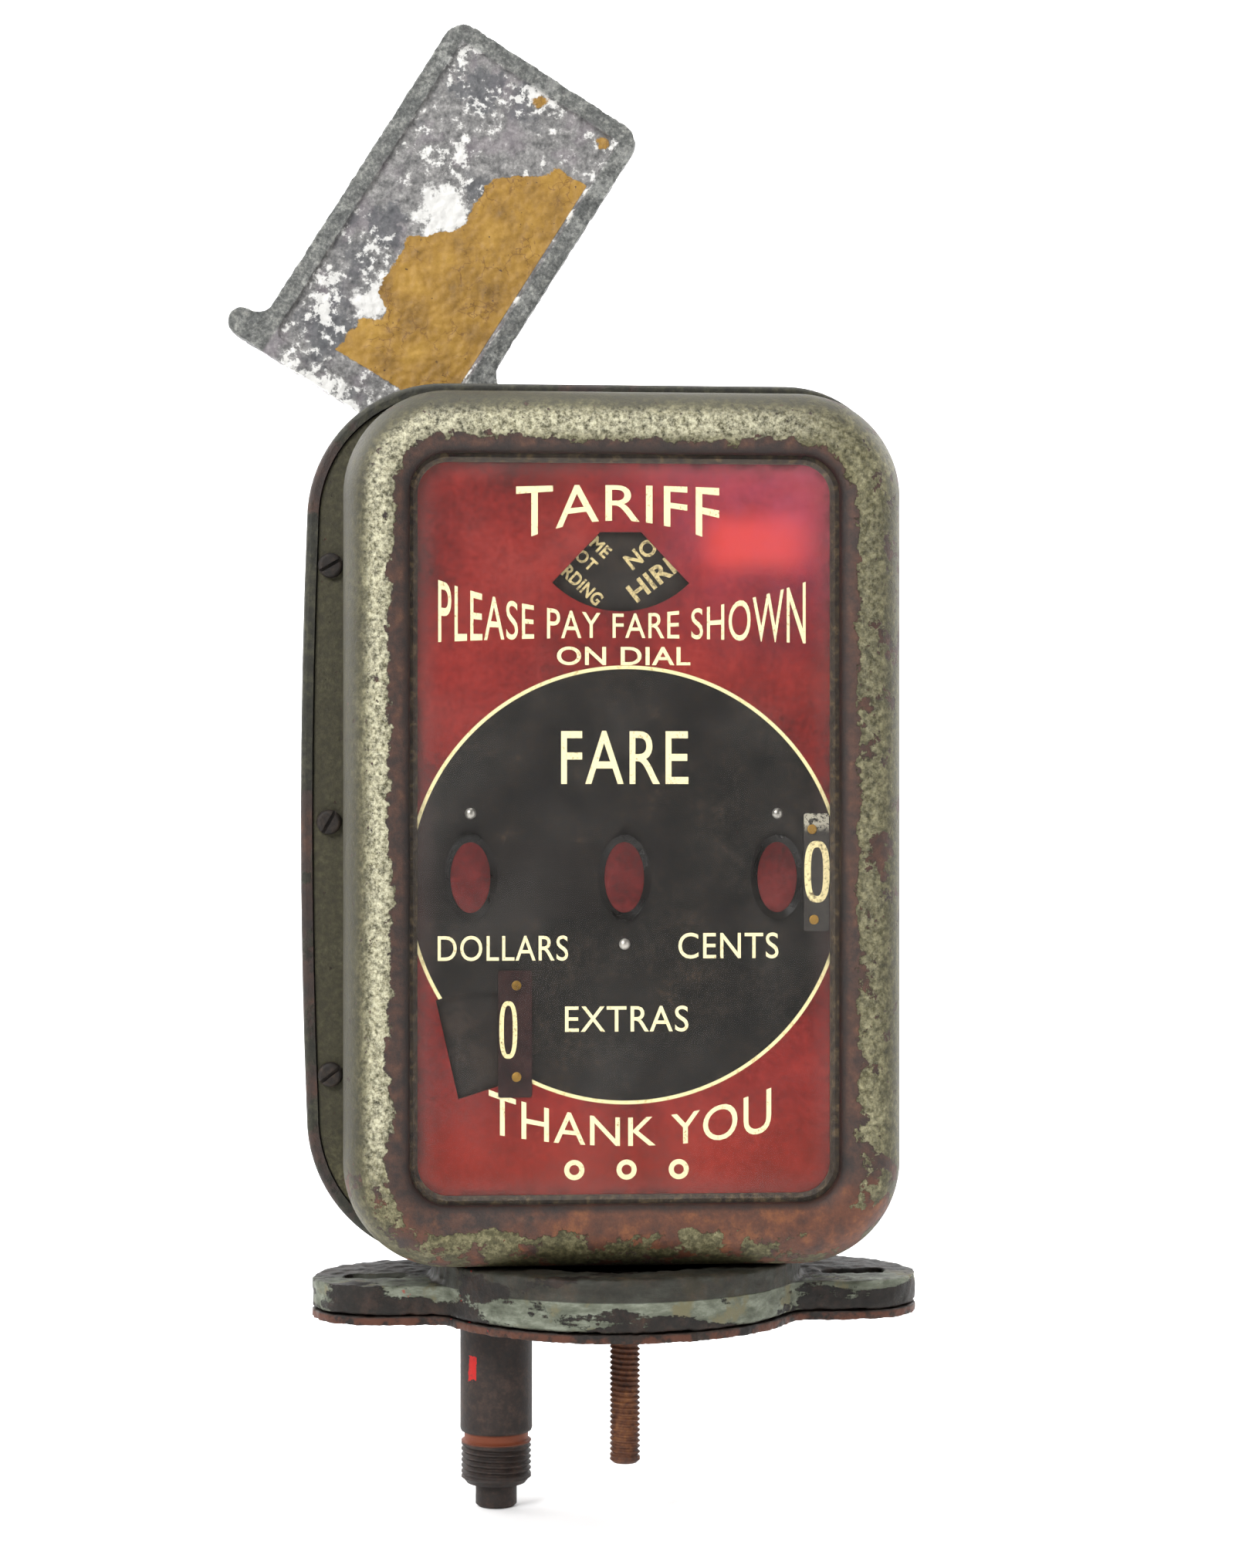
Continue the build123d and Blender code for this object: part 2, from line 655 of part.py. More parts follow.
def make_worm():
    pitch = math.pi * gear_module
    z_start = wheel_z - 3 * pitch
    core = rod_z(spindle_x, spindle_y, 3.9, z_start - 2, z_start + 6 * pitch + 2)
    helix = Helix(pitch=pitch, height=6 * pitch, radius=3.8)
    start = Plane(origin=helix @ 0, x_dir=(1, 0, 0), z_dir=helix % 0)
    tooth = Polygon((0, -0.75), (1.9, -0.32), (1.9, 0.32), (0, 0.75), align=None)
    thread = sweep(start * tooth, path=helix, is_frenet=True)
    worm = core + Pos(spindle_x, spindle_y, z_start) * thread
    return worm - rod_z(spindle_x, spindle_y, spindle_radius, z_start - 3, z_start + 6 * pitch + 3)


def make_spindle_bracket():
    arm = block(spindle_x - 6, spindle_x + 6, -6, rear_plate_front, 65.0, 69.5)
    arm += block(spindle_x - 6, spindle_x + 6, rear_plate_front - 3, rear_plate_front, 62.0, 76.0)
    return arm - rod_z(spindle_x, spindle_y, spindle_radius + running, 60, 75)


def arbor(x, z, journal, body, y_front=front_plate_front, y_back=rear_plate_back):
    """Turned arbor with a journal at each end and a thicker body between the plates."""
    shaft = rod_y(x, z, journal, y_front, y_back)
    return shaft + rod_y(x, z, body, front_plate_back + 0.5, rear_plate_front - 0.5)


def make_worm_wheel():
    wheel = spur_gear(-52, wheel_z, worm_wheel_teeth, 0, -1.5, 1.5, 3.0)
    for i in range(5):
        a = math.radians(72 * i)
        wheel -= rod_y(-52 + 8.5 * math.cos(a), wheel_z + 8.5 * math.sin(a), 2.6, -3, 3)
    return wheel


def make_feed_cam():
    """Snail cam that lifts the feed click once a turn."""
    points = [((6 + i * 0.25) * math.cos(math.radians(20 * i)), (6 + i * 0.25) * math.sin(math.radians(20 * i)))
              for i in range(18)]
    return slab(Pos(-52, wheel_z) * (Polygon(*points, align=None) - Circle(3.0)), 8, 12)


# ---------- extras ----------
def make_extras_disc():
    return slab(Pos(extras_x, extras_z) * (Circle(46) - Circle(3)), disc_front, disc_back)


def make_extras_shaft():
    return rod_y(extras_x, extras_z, 3.0, disc_front - 0.2, case_back + 3.0)


def make_extras_bush():
    bush = rod_y(extras_x, extras_z, 6.0, case_back - case_wall - 1, case_back)
    bush += rod_y(extras_x, extras_z, 8.0, case_back, case_back + 0.6)
    return bush - rod_y(extras_x, extras_z, 3.0 + running, 30, 50)


def make_extras_knob():
    outline = Circle(9.5)
    for i in range(24):
        a = math.radians(15 * i)
        outline -= Pos(9.9 * math.cos(a), 9.9 * math.sin(a)) * Circle(0.8)
    knob = slab(Pos(extras_x, extras_z) * outline, case_back + 1.2, case_back + 6.4)
    return knob - rod_y(extras_x, extras_z, 3.0, case_back, case_back + 3.0)


# ---------- clock ----------
def make_spring_barrel():
    barrel = rod_y(barrel_x, barrel_z, 18.0, -16, -4)
    barrel -= rod_y(barrel_x, barrel_z, 17.0, -17, -5.5)
    barrel += spur_gear(barrel_x, barrel_z, barrel_teeth, 0, -7, -4, 5.0)
    barrel += rod_y(barrel_x, barrel_z, 5.0, -16, -4)
    return barrel - rod_y(barrel_x, barrel_z, 3.0 + running, -20, 0)


def make_mainspring():
    """The wound spring as a pack of coils between the barrel's hub and wall."""
    pack = rod_y(barrel_x, barrel_z, 16.8, -15, -7.2) - rod_y(barrel_x, barrel_z, 5.0, -20, 0)
    for r in (7.5, 9.5, 11.5, 13.5, 15.3):
        groove = rod_y(barrel_x, barrel_z, r + 0.35, -16, -14) - rod_y(barrel_x, barrel_z, r, -17, -13)
        pack -= groove
    return pack


def make_winding_arbor():
    shaft = rod_y(barrel_x, barrel_z, 3.0, front_plate_front, 38.0)
    square = slab(Pos(barrel_x, barrel_z) * Rectangle(4.0, 4.0), 38.0, case_back - 0.5)
    return shaft + square


def make_escape_pinion():
    x = barrel_x + 25
    pinion = spur_gear(x, barrel_z, pinion_teeth, 180 + 180 / pinion_teeth, -8, -3, 1.0)
    return pinion + arbor(x, barrel_z, 1.5, 2.2)


def make_escape_wheel():
    points = []
    for i in range(15):
        a = math.radians(24 * i)
        points.append((9.6 * math.cos(a), 9.6 * math.sin(a)))
        points.append((12.0 * math.cos(a + 0.12), 12.0 * math.sin(a + 0.12)))
    wheel = Pos(barrel_x + 25, barrel_z) * (Polygon(*points, align=None) - Circle(2.2))
    return slab(wheel, 10, 11.5)


def make_pallet_lever():
    lever = slab(Pos(pallet_x, pallet_z) * Circle(2.4), 10, 11.5)
    angle = math.degrees(math.atan2(barrel_z - pallet_z, barrel_x + 25 - pallet_x))
    bar = Pos(pallet_x, pallet_z) * Rot(0, 0, angle + 90) * RectangleRounded(10, 2.4, 1)
    lever += slab(bar, 10, 11.5)
    return lever + rod_y(pallet_x, pallet_z, 1.0, 8, rear_plate_back)


def make_balance_wheel():
    rim = slab(Pos(balance_x, balance_z) * (Circle(12) - Circle(10.2)), 18, 20)
    spoke = slab(Pos(balance_x, balance_z) * Rectangle(21, 2.2), 18.4, 19.6)
    staff = rod_y(balance_x, balance_z, 1.0, 14.5, rear_plate_back)
    return rim + spoke + staff


def make_balance_cock():
    arm = block(balance_x - 4, balance_x + 16, 13.5, 16.5, balance_z - 4, balance_z + 4)
    foot = block(balance_x + 13, balance_x + 18, 13.5, rear_plate_front, balance_z - 4, balance_z + 4)
    return arm + foot - rod_y(balance_x, balance_z, 1.0 + running, 12, 20)


# ---------- tariff indicator and flag ----------
tariff_phase = 180 / flag_teeth


def make_tariff_disc():
    return slab(Pos(tariff_x, tariff_z) * (Circle(27) - Circle(2.5)), disc_front, disc_back)


def make_tariff_arbor():
    return rod_y(tariff_x, tariff_z, 2.5, disc_front, rear_plate_back)


def make_flag_shaft():
    shaft = rod_y(flag_x, flag_z, 4.0, front_plate_front, -16.5)
    return shaft + rod_y(flag_x, flag_z, flag_shaft_radius, -16.5, hub_back + 4)


def make_detent_cam():
    """Four-lobed cam: one lobe for each station of the flag."""
    points = []
    for i in range(72):
        a = math.radians(5 * i)
        r = 11.6 + 1.6 * math.cos(4 * a + math.radians(180))
        points.append((r * math.cos(a), r * math.sin(a)))
    turned = Rot(0, 0, -flag_tilt) * Polygon(*points, align=None)
    return slab(Pos(flag_x, flag_z) * (turned - Circle(flag_shaft_radius)), 2, 8)


def make_detent_spring():
    """Leaf that bears up against the detent cam, carried by a post on the rear plate."""
    leaf_top = flag_z - 13.5
    leaf = block(flag_x - 14, flag_x + 26, 2, 8, leaf_top - 1.0, leaf_top)
    post = block(flag_x + 20, flag_x + 26, 2, rear_plate_front, leaf_top - 5.0, leaf_top)
    return leaf + post


def make_flag_bush():
    bush = rod_y(flag_x, flag_z, 9.0, case_back - case_wall - 1, case_back)
    bush += rod_y(flag_x, flag_z, 13.0, case_back, case_back + 2.6)
    bush = fillet(bush.faces().sort_by(Axis.Y)[-1].edges(), 0.8)
    return bush - rod_y(flag_x, flag_z, flag_shaft_radius + running, 30, 60)


def flag_outline():
    """Plate, knobbed lug and arm, drawn upright with the shaft at the origin."""
    left, right = flag_axis - flag_half, flag_axis + flag_half
    top, low, r = flag_top, flag_bottom, flag_corner
    d = r * (1 - math.sqrt(0.5))
    lines = [
        ThreePointArc((left, top - r), (left + d, top - d), (left + r, top)),
        Line((left + r, top), (right - r, top)),
        ThreePointArc((right - r, top), (right - d, top - d), (right, top - r)),
        Line((right, top - r), (right, low + 34)),
        ThreePointArc((right, low + 34), (right + 2.2, low + 29.2), (right + 8, low + 27)),
        Line((right + 8, low + 27), (-4, 12.4)),
        Line((-4, 12.4), (-4, -12.4)),
        Line((-4, -12.4), (right + 14, low)),
        Line((right + 14, low), (left - 4.4, low)),
        ThreePointArc((left - 4.4, low), (left - 8.6, low + 4.2), (left - 4.4, low + 8.4)),
        ThreePointArc((left - 4.4, low + 8.4), (left - 1.2, low + 9.9), (left, low + 13.5)),
        Line((left, low + 13.5), (left, top - r)),
    ]
    return make_face(Curve() + lines) + Circle(hub_radius)


def place_flag(outline):
    return Pos(flag_x, flag_z) * Rot(0, 0, -flag_tilt) * outline


def make_flag():
    body = slab(place_flag(flag_outline()), flag_front, flag_back)
    width = 2 * (flag_half - flag_rim)
    low, high = flag_bottom + 6.0, flag_top - flag_rim
    panel = place_flag(Pos(flag_axis, (low + high) / 2) * RectangleRounded(width, high - low, 3))
    body -= slab(panel, flag_front - 1, flag_front + panel_depth)
    body -= slab(panel, flag_back - panel_depth, flag_back + 1)
    body += rod_y(flag_x, flag_z, hub_radius, hub_front, hub_back)
    return body - rod_y(flag_x, flag_z, flag_shaft_radius, hub_front - 1, hub_back + 1)


def make_flag_nut():
    nut = slab(Pos(flag_x, flag_z) * RegularPolygon(8.2, 6), hub_back, hub_back + 6.0)
    return nut - rod_y(flag_x, flag_z, flag_shaft_radius, hub_back - 1, hub_back + 4)


# ---------- write every node ----------
parts = {
    "base_plate": make_base_plate(),
    "base_casting": make_base_casting(),
    "mounting_stud": make_mounting_stud(),
    "stud_nut": make_stud_nut(),
    "cable_coupling": make_cable_coupling(),
    "spindle_bush": make_spindle_bush(),
    "base_screws": make_base_screws(),
    "rear_case": make_rear_case(),
    "front_casing": make_front_casing(),
    "case_screws": make_case_screws(),
    "back_screws": make_back_screws(),
    "front_glass": make_front_glass(),
    "glass_frame": make_glass_frame(),
    "dial_plate": make_dial_plate(),
    "dial_rivets": make_dial_rivets(),
    "cents_zero_plate": label_plate(46.5, 53.0, 103.3, 133.8, cents_screws),
    "extras_zero_plate": label_plate(-32.6, -23.9, 60.8, 93.4, extras_screws),
    "label_screws": make_plate_screws(),
    "shutter_rails": make_shutter_rails(),
    "fare_shutter": make_fare_shutter(),
    "front_movement_plate": make_front_movement_plate(),
    "rear_movement_plate": make_rear_movement_plate(),
    "movement_pillars": make_movement_pillars(),
    "pillar_screws": make_pillar_screws(),
    "rear_spacers": make_rear_spacers(),
    "dial_posts": make_dial_posts(),
    "drum_shaft": make_drum_shaft(),
    "drum_brackets": make_drum_brackets(),
    "dollars_drum": make_fare_drum(-oval_x),
    "dimes_drum": make_fare_drum(0),
    "cents_drum": make_fare_drum(oval_x),
    "click_springs": make_click_springs(),
    "drive_spindle": make_drive_spindle(),
    "worm": make_worm(),
    "spindle_bracket": make_spindle_bracket(),
    "worm_wheel": make_worm_wheel(),
    "distance_arbor": arbor(-52, wheel_z, 2.0, 3.0),
    "feed_cam": make_feed_cam(),
    "extras_disc": make_extras_disc(),
    "extras_shaft": make_extras_shaft(),
    "extras_bush": make_extras_bush(),
    "extras_knob": make_extras_knob(),
    "spring_barrel": make_spring_barrel(),
    "mainspring": make_mainspring(),
    "winding_arbor": make_winding_arbor(),
    "escape_pinion": make_escape_pinion(),
    "escape_wheel": make_escape_wheel(),
    "pallet_lever": make_pallet_lever(),
    "balance_wheel": make_balance_wheel(),
    "balance_cock": make_balance_cock(),
    "tariff_disc": make_tariff_disc(),
    "tariff_arbor": make_tariff_arbor(),
    "tariff_gear": spur_gear(tariff_x, tariff_z, flag_teeth, tariff_phase, -16, -11, 2.5),
    "flag_shaft": make_flag_shaft(),
    "flag_gear": spur_gear(flag_x, flag_z, flag_teeth, 180, -16, -11, flag_shaft_radius),
    "detent_cam": make_detent_cam(),
    "detent_spring": make_detent_spring(),
    "flag_bush": make_flag_bush(),
    "flag": make_flag(),
    "flag_nut": make_flag_nut(),
}

os.makedirs("parts", exist_ok=True)
for node, solid in parts.items():
    export_step(solid, f"parts/{node}.step")
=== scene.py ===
import bpy
import bmesh
import math
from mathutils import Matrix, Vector, noise


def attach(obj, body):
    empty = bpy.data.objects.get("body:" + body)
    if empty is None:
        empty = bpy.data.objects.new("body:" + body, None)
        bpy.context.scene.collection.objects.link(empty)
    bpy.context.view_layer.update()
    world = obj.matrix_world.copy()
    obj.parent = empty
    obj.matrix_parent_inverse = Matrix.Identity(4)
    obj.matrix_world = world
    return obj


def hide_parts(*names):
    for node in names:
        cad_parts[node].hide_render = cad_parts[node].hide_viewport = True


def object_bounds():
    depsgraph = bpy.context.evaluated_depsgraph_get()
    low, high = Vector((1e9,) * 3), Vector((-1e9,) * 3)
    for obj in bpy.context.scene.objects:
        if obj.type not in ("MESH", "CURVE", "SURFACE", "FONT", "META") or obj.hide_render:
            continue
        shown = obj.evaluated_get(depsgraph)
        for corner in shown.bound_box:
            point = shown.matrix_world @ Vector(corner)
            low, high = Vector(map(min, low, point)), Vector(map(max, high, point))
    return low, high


# A mechanical taxi meter, dressed over its CAD frame.
# Lengths below are in millimetres, in the part's own frame; MM turns them into metres.

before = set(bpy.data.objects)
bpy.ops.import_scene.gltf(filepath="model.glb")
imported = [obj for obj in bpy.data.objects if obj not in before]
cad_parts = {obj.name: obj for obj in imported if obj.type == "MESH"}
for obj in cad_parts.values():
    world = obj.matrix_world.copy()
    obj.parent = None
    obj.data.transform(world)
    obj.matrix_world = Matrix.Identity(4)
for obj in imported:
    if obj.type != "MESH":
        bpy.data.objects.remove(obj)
cad_low, cad_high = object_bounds()
MM = 0.001

# ---- driving dimensions, as in the CAD ----
window_half, window_bottom, window_top, window_radius = 55.3, 33.7, 226.1, 10.0
dial_front = -32.0
label_front = -32.4
disc_front = -29.6
ring_x, ring_z, ring_radius = 0.5, 115.4, 56.1
oval_x, oval_z = 39.7, 117.3
oval_half_width, oval_half_height = 5.15, 9.1
tariff_x, tariff_z = -1.0, 211.0
extras_x, extras_z = -8.0, 66.0
drum_y, drum_z, drum_radius = -8.6, 117.3, 20.0
flag_x, flag_z, flag_tilt = 22.0, 211.0, 32.3
flag_axis, flag_half, flag_top, flag_rim = -102.3, 31.8, 93.3, 5.5
flag_front = 57.5           # the flag's paint is only on the face in front of this
print_thick = 0.035          # how far printing stands proud
stud_x, stud_y, stud_radius, stud_bottom = 1.0, -20.0, 3.97, -36.0
coupling_x, coupling_radius = -32.0, 9.7
barrel_bottom, thread_top, thread_bottom = -31.2, -33.7, -43.4
plate_thick = 2.5


# ======================= material helpers =======================
def colour(text):
    """A linear colour from a hex string."""
    parts = [int(text[i:i + 2], 16) / 255 for i in (0, 2, 4)]
    return tuple(c / 12.92 if c <= 0.04045 else ((c + 0.055) / 1.055) ** 2.4 for c in parts) + (1.0,)


class Finish:
    """A node material whose coordinates are millimetres in the part's own frame."""

    def __init__(self, name):
        self.material = bpy.data.materials.new(name)
        self.material.use_nodes = True
        self.tree = self.material.node_tree
        self.shader = self.tree.nodes["Principled BSDF"]
        coords = self.node("ShaderNodeTexCoord")
        scaled = self.node("ShaderNodeVectorMath")
        scaled.operation = "SCALE"
        scaled.inputs["Scale"].default_value = 1000
        self.tree.links.new(coords.outputs["Object"], scaled.inputs[0])
        self.place = scaled.outputs[0]
        split = self.node("ShaderNodeSeparateXYZ")
        self.tree.links.new(self.place, split.inputs[0])
        self.x, self.y, self.z = split.outputs

    def node(self, kind):
        return self.tree.nodes.new(kind)

    def feed(self, socket, value):
        if isinstance(value, bpy.types.NodeSocket):
            self.tree.links.new(value, socket)
        else:
            socket.default_value = value

    def put(self, **values):
        """Sets the shader's inputs: base_color=..., roughness=... and so on."""
        for key, value in values.items():
            self.feed(self.shader.inputs[key.replace("_", " ").title()], value)
        return self

    def math(self, operation, a, b=0.0, c=0.0):
        n = self.node("ShaderNodeMath")
        n.operation = operation
        for socket, value in zip(n.inputs, (a, b, c)):
            self.feed(socket, value)
        return n.outputs[0]

    def add(self, a, b):
        return self.math("ADD", a, b)

    def times(self, a, b):
        return self.math("MULTIPLY", a, b)

    def step(self, value, low, high):
        """0 below low, 1 above high, smooth between; low may be above high."""
        n = self.node("ShaderNodeMapRange")
        n.interpolation_type = "SMOOTHSTEP"
        for name, v in (("Value", value), ("From Min", low), ("From Max", high)):
            self.feed(n.inputs[name], v)
        return n.outputs["Result"]

    def noise(self, size, detail=4.0, rough=0.55, shift=0.0, stretch=(1, 1, 1), twist=0.0):
        """Noise from 0 to 1 whose largest features are about size millimetres."""
        mapped = self.node("ShaderNodeMapping")
        mapped.inputs["Location"].default_value = (shift * 17.0, shift * 31.0, shift * 7.0)
        mapped.inputs["Scale"].default_value = tuple(1.0 / (size * s) for s in stretch)
        self.feed(mapped.inputs["Vector"], self.place)
        n = self.node("ShaderNodeTexNoise")
        n.inputs["Scale"].default_value = 1.0
        n.inputs["Detail"].default_value = detail
        n.inputs["Roughness"].default_value = rough
        n.inputs["Distortion"].default_value = twist
        self.feed(n.inputs["Vector"], mapped.outputs[0])
        return n.outputs["Fac"]

    def cracks(self, size, shift=0.0):
        """Distance to the nearest cell edge, for crazed paint."""
        mapped = self.node("ShaderNodeMapping")
        mapped.inputs["Location"].default_value = (shift, shift * 3, shift * 5)
        mapped.inputs["Scale"].default_value = (1 / size,) * 3
        wobble = self.node("ShaderNodeVectorMath")
        wobble.operation = "ADD"
        swirl = self.node("ShaderNodeTexNoise")
        swirl.inputs["Scale"].default_value = 0.35
        swirl.inputs["Detail"].default_value = 3
        self.feed(swirl.inputs["Vector"], self.place)
        grow = self.node("ShaderNodeVectorMath")
        grow.operation = "SCALE"
        grow.inputs["Scale"].default_value = size * 0.9
        self.feed(grow.inputs[0], swirl.outputs["Color"])
        self.feed(wobble.inputs[0], self.place)
        self.feed(wobble.inputs[1], grow.outputs[0])
        self.feed(mapped.inputs["Vector"], wobble.outputs[0])
        n = self.node("ShaderNodeTexVoronoi")
        n.feature = "DISTANCE_TO_EDGE"
        self.feed(n.inputs["Vector"], mapped.outputs[0])
        n.inputs["Scale"].default_value = 1.0
        return n.outputs["Distance"]

    def ramp(self, value, *stops):
        """Colour ramp: stops are (place, hex colour)."""
        n = self.node("ShaderNodeValToRGB")
        elements = n.color_ramp.elements
        while len(elements) < len(stops):
            elements.new(0.5)
        for element, (where, text) in zip(elements, stops):
            element.position = where
            element.color = colour(text)
        self.feed(n.inputs[0], value)
        return n.outputs["Color"]

    def blend(self, share, a, b, mode="MIX"):
        n = self.node("ShaderNodeMix")
        n.data_type = "RGBA"
        n.blend_type = mode
        self.feed(n.inputs[0], share)
        self.feed(n.inputs[6], colour(a) if isinstance(a, str) else a)
        self.feed(n.inputs[7], colour(b) if isinstance(b, str) else b)
        return n.outputs[2]

    def bump(self, height, depth, after=None):
        """Adds relief: height from 0 to 1 stands for depth millimetres."""
        n = self.node("ShaderNodeBump")
        n.inputs["Strength"].default_value = 1.0
        n.inputs["Distance"].default_value = depth * MM
        self.feed(n.inputs["Height"], height)
        if after is not None:
            self.feed(n.inputs["Normal"], after)
        self.feed(self.shader.inputs["Normal"], n.outputs[0])
        return n.outputs[0]

    def within(self, value, centre, half, soft):
        """1 where value lies within half of centre, falling to 0 over soft."""
        away = self.math("ABSOLUTE", self.math("SUBTRACT", value, centre))
        return self.step(away, half + soft, half)

    def window_distance(self):
        """Distance outward from the window's edge, seen from the front."""
        inner = window_half - window_radius
        half = (window_top - window_bottom) / 2 - window_radius
        middle = (window_top + window_bottom) / 2
        qx = self.math("SUBTRACT", self.math("ABSOLUTE", self.x), inner)
        qz = self.math("SUBTRACT", self.math("ABSOLUTE", self.math("SUBTRACT", self.z, middle)), half)
        px = self.math("MAXIMUM", qx, 0.0)
        pz = self.math("MAXIMUM", qz, 0.0)
        outside = self.math("SQRT", self.add(self.times(px, px), self.times(pz, pz)))
        return self.math("SUBTRACT", outside, window_radius)

    def radius_from(self, cx, cz):
        dx = self.math("SUBTRACT", self.x, cx)
        dz = self.math("SUBTRACT", self.z, cz)
        return self.math("SQRT", self.add(self.times(dx, dx), self.times(dz, dz)))


# ======================= materials =======================
def casing_finish():
    """Aluminium-flake paint over brown primer, worn back at the inner edge, the right and the bottom, with a
    painted highlight along the crown and painted shade on the outer slope and the inner lip.
    """
    f = Finish("case_front_paint")
    away = f.window_distance()
    wave = f.noise(20, 5, 0.6, 1)
    ragged = f.noise(4.5, 7, 0.66, 2)
    fleck = f.noise(0.9, 3, 0.7, 3)
    grain = f.noise(1.8, 6, 0.74, 4)
    scrape = f.noise(3.0, 4, 0.65, 5, stretch=(0.35, 1, 2.2))
    right = f.step(f.x, 30, 60)
    low = f.step(f.z, 56, 28)
    # painted_light_side: 1 on the left and top, less on the right and bottom; it sets how strong the painted
    # highlight and the painted outer shade are
    painted_light_side = f.math("SUBTRACT", 1.0, f.math("MAXIMUM", f.times(right, 0.8), low))
    edge = f.add(f.add(away, f.times(f.math("SUBTRACT", wave, 0.5), 8)),
                 f.times(f.math("SUBTRACT", ragged, 0.5), 8))
    high = f.step(f.z, 205, 225)
    limit = f.add(f.add(5.0, f.times(low, 2.2)), f.times(right, -0.8))
    limit = f.math("SUBTRACT", limit, f.times(high, 1.6))
    kept = f.step(f.math("SUBTRACT", edge, limit), -0.1, 0.25)
    chip_bar = f.math("SUBTRACT", f.math("SUBTRACT", 0.67, f.times(right, 0.1)), f.times(low, 0.13))
    chips = f.step(f.math("SUBTRACT", f.noise(9, 8, 0.7, 6), chip_bar), 0.008, -0.008)
    specks = f.step(f.noise(1.6, 4, 0.6, 7), 0.69, 0.66)
    paint = f.times(f.times(kept, chips), specks)
    olive = f.ramp(grain, (0.3, "2b2919"), (0.46, "5b573d"), (0.58, "858063"), (0.74, "bab596"))
    tone = f.ramp(f.noise(34, 4, 0.6, 8), (0.3, "9a9683"), (0.55, "d2d0bf"), (0.8, "ffffff"))
    olive = f.blend(1.0, olive, tone, "MULTIPLY")
    # painted highlight: a speckled light silver band along the crown of the bullnose, centred 7.4 mm out from
    # the window edge
    highlight_speckle = f.step(f.add(f.times(fleck, 0.7), f.times(grain, 0.7)), 0.5, 0.95)
    painted_crown_highlight = f.times(f.within(away, 7.4, 0.8, 5.0), highlight_speckle)
    olive = f.blend(f.times(f.times(painted_crown_highlight, painted_light_side), 0.9), olive, "d6d2b6")
    olive = f.blend(f.times(f.step(scrape, 0.62, 0.75), 0.6), olive, "2c2719")
    # painted shade: the outer slope of the bullnose darkens from 9.5 to 15 mm out from the window edge, more
    # on the left and top
    outer = f.times(f.step(away, 9.5, 15.0), f.add(0.35, f.times(painted_light_side, 0.45)))
    olive = f.blend(outer, olive, "2f2c1e")
    brown = f.ramp(f.noise(4.0, 8, 0.72, 9),
                   (0.28, "120c09"), (0.44, "2b1c15"), (0.58, "43291d"), (0.76, "60402b"))
    rusty = f.ramp(f.noise(6, 7, 0.7, 10), (0.32, "331a0f"), (0.52, "5c3018"), (0.74, "8d5327"))
    rust_share = f.times(f.add(f.times(low, 0.75), f.times(right, 0.15)),
                         f.step(f.noise(16, 5, 0.6, 11), 0.42, 0.58))
    brown = f.blend(rust_share, brown, rusty)
    # painted shade: the primer darkens toward near black within 2.4 mm of the window edge, where the lip
    # turns in
    brown = f.blend(f.step(away, 2.4, 0.6), brown, f.blend(0.75, brown, "0f0b08"))
    look = f.blend(paint, brown, olive)
    gloss = f.add(0.40, f.times(grain, 0.3))
    f.put(base_color=look, metallic=f.times(paint, 0.35), roughness=f.blend(paint, (0.6,) * 3 + (1,), gloss))
    relief = f.bump(f.add(f.times(paint, 0.8), f.times(grain, 0.6)), 0.34)
    f.bump(f.noise(0.8, 4, 0.7, 12), 0.10, relief)
    return f.material


def shell_finish():
    """The rear case: the same paint, older and darker, with rust through it."""
    f = Finish("case_rear_paint")
    grain = f.noise(3.0, 7, 0.72, 21)
    patch = f.noise(24, 6, 0.6, 22)
    olive = f.ramp(grain, (0.3, "11110b"), (0.5, "27261b"), (0.66, "403e2d"), (0.85, "6d6a53"))
    brown = f.ramp(f.noise(6, 6, 0.66, 23), (0.3, "130d0a"), (0.55, "2e1d14"), (0.8, "55331f"))
    bare = f.step(f.add(patch, f.times(grain, 0.25)), 0.66, 0.72)
    look = f.blend(bare, olive, brown)
    f.put(base_color=look, metallic=f.times(f.math("SUBTRACT", 1.0, bare), 0.25))
    f.put(roughness=f.add(0.38, f.times(patch, 0.3)))
    relief = f.bump(f.math("SUBTRACT", grain, f.times(bare, 0.6)), 0.26)
    f.bump(f.noise(0.9, 3, 0.7, 24), 0.07, relief)
    return f.material


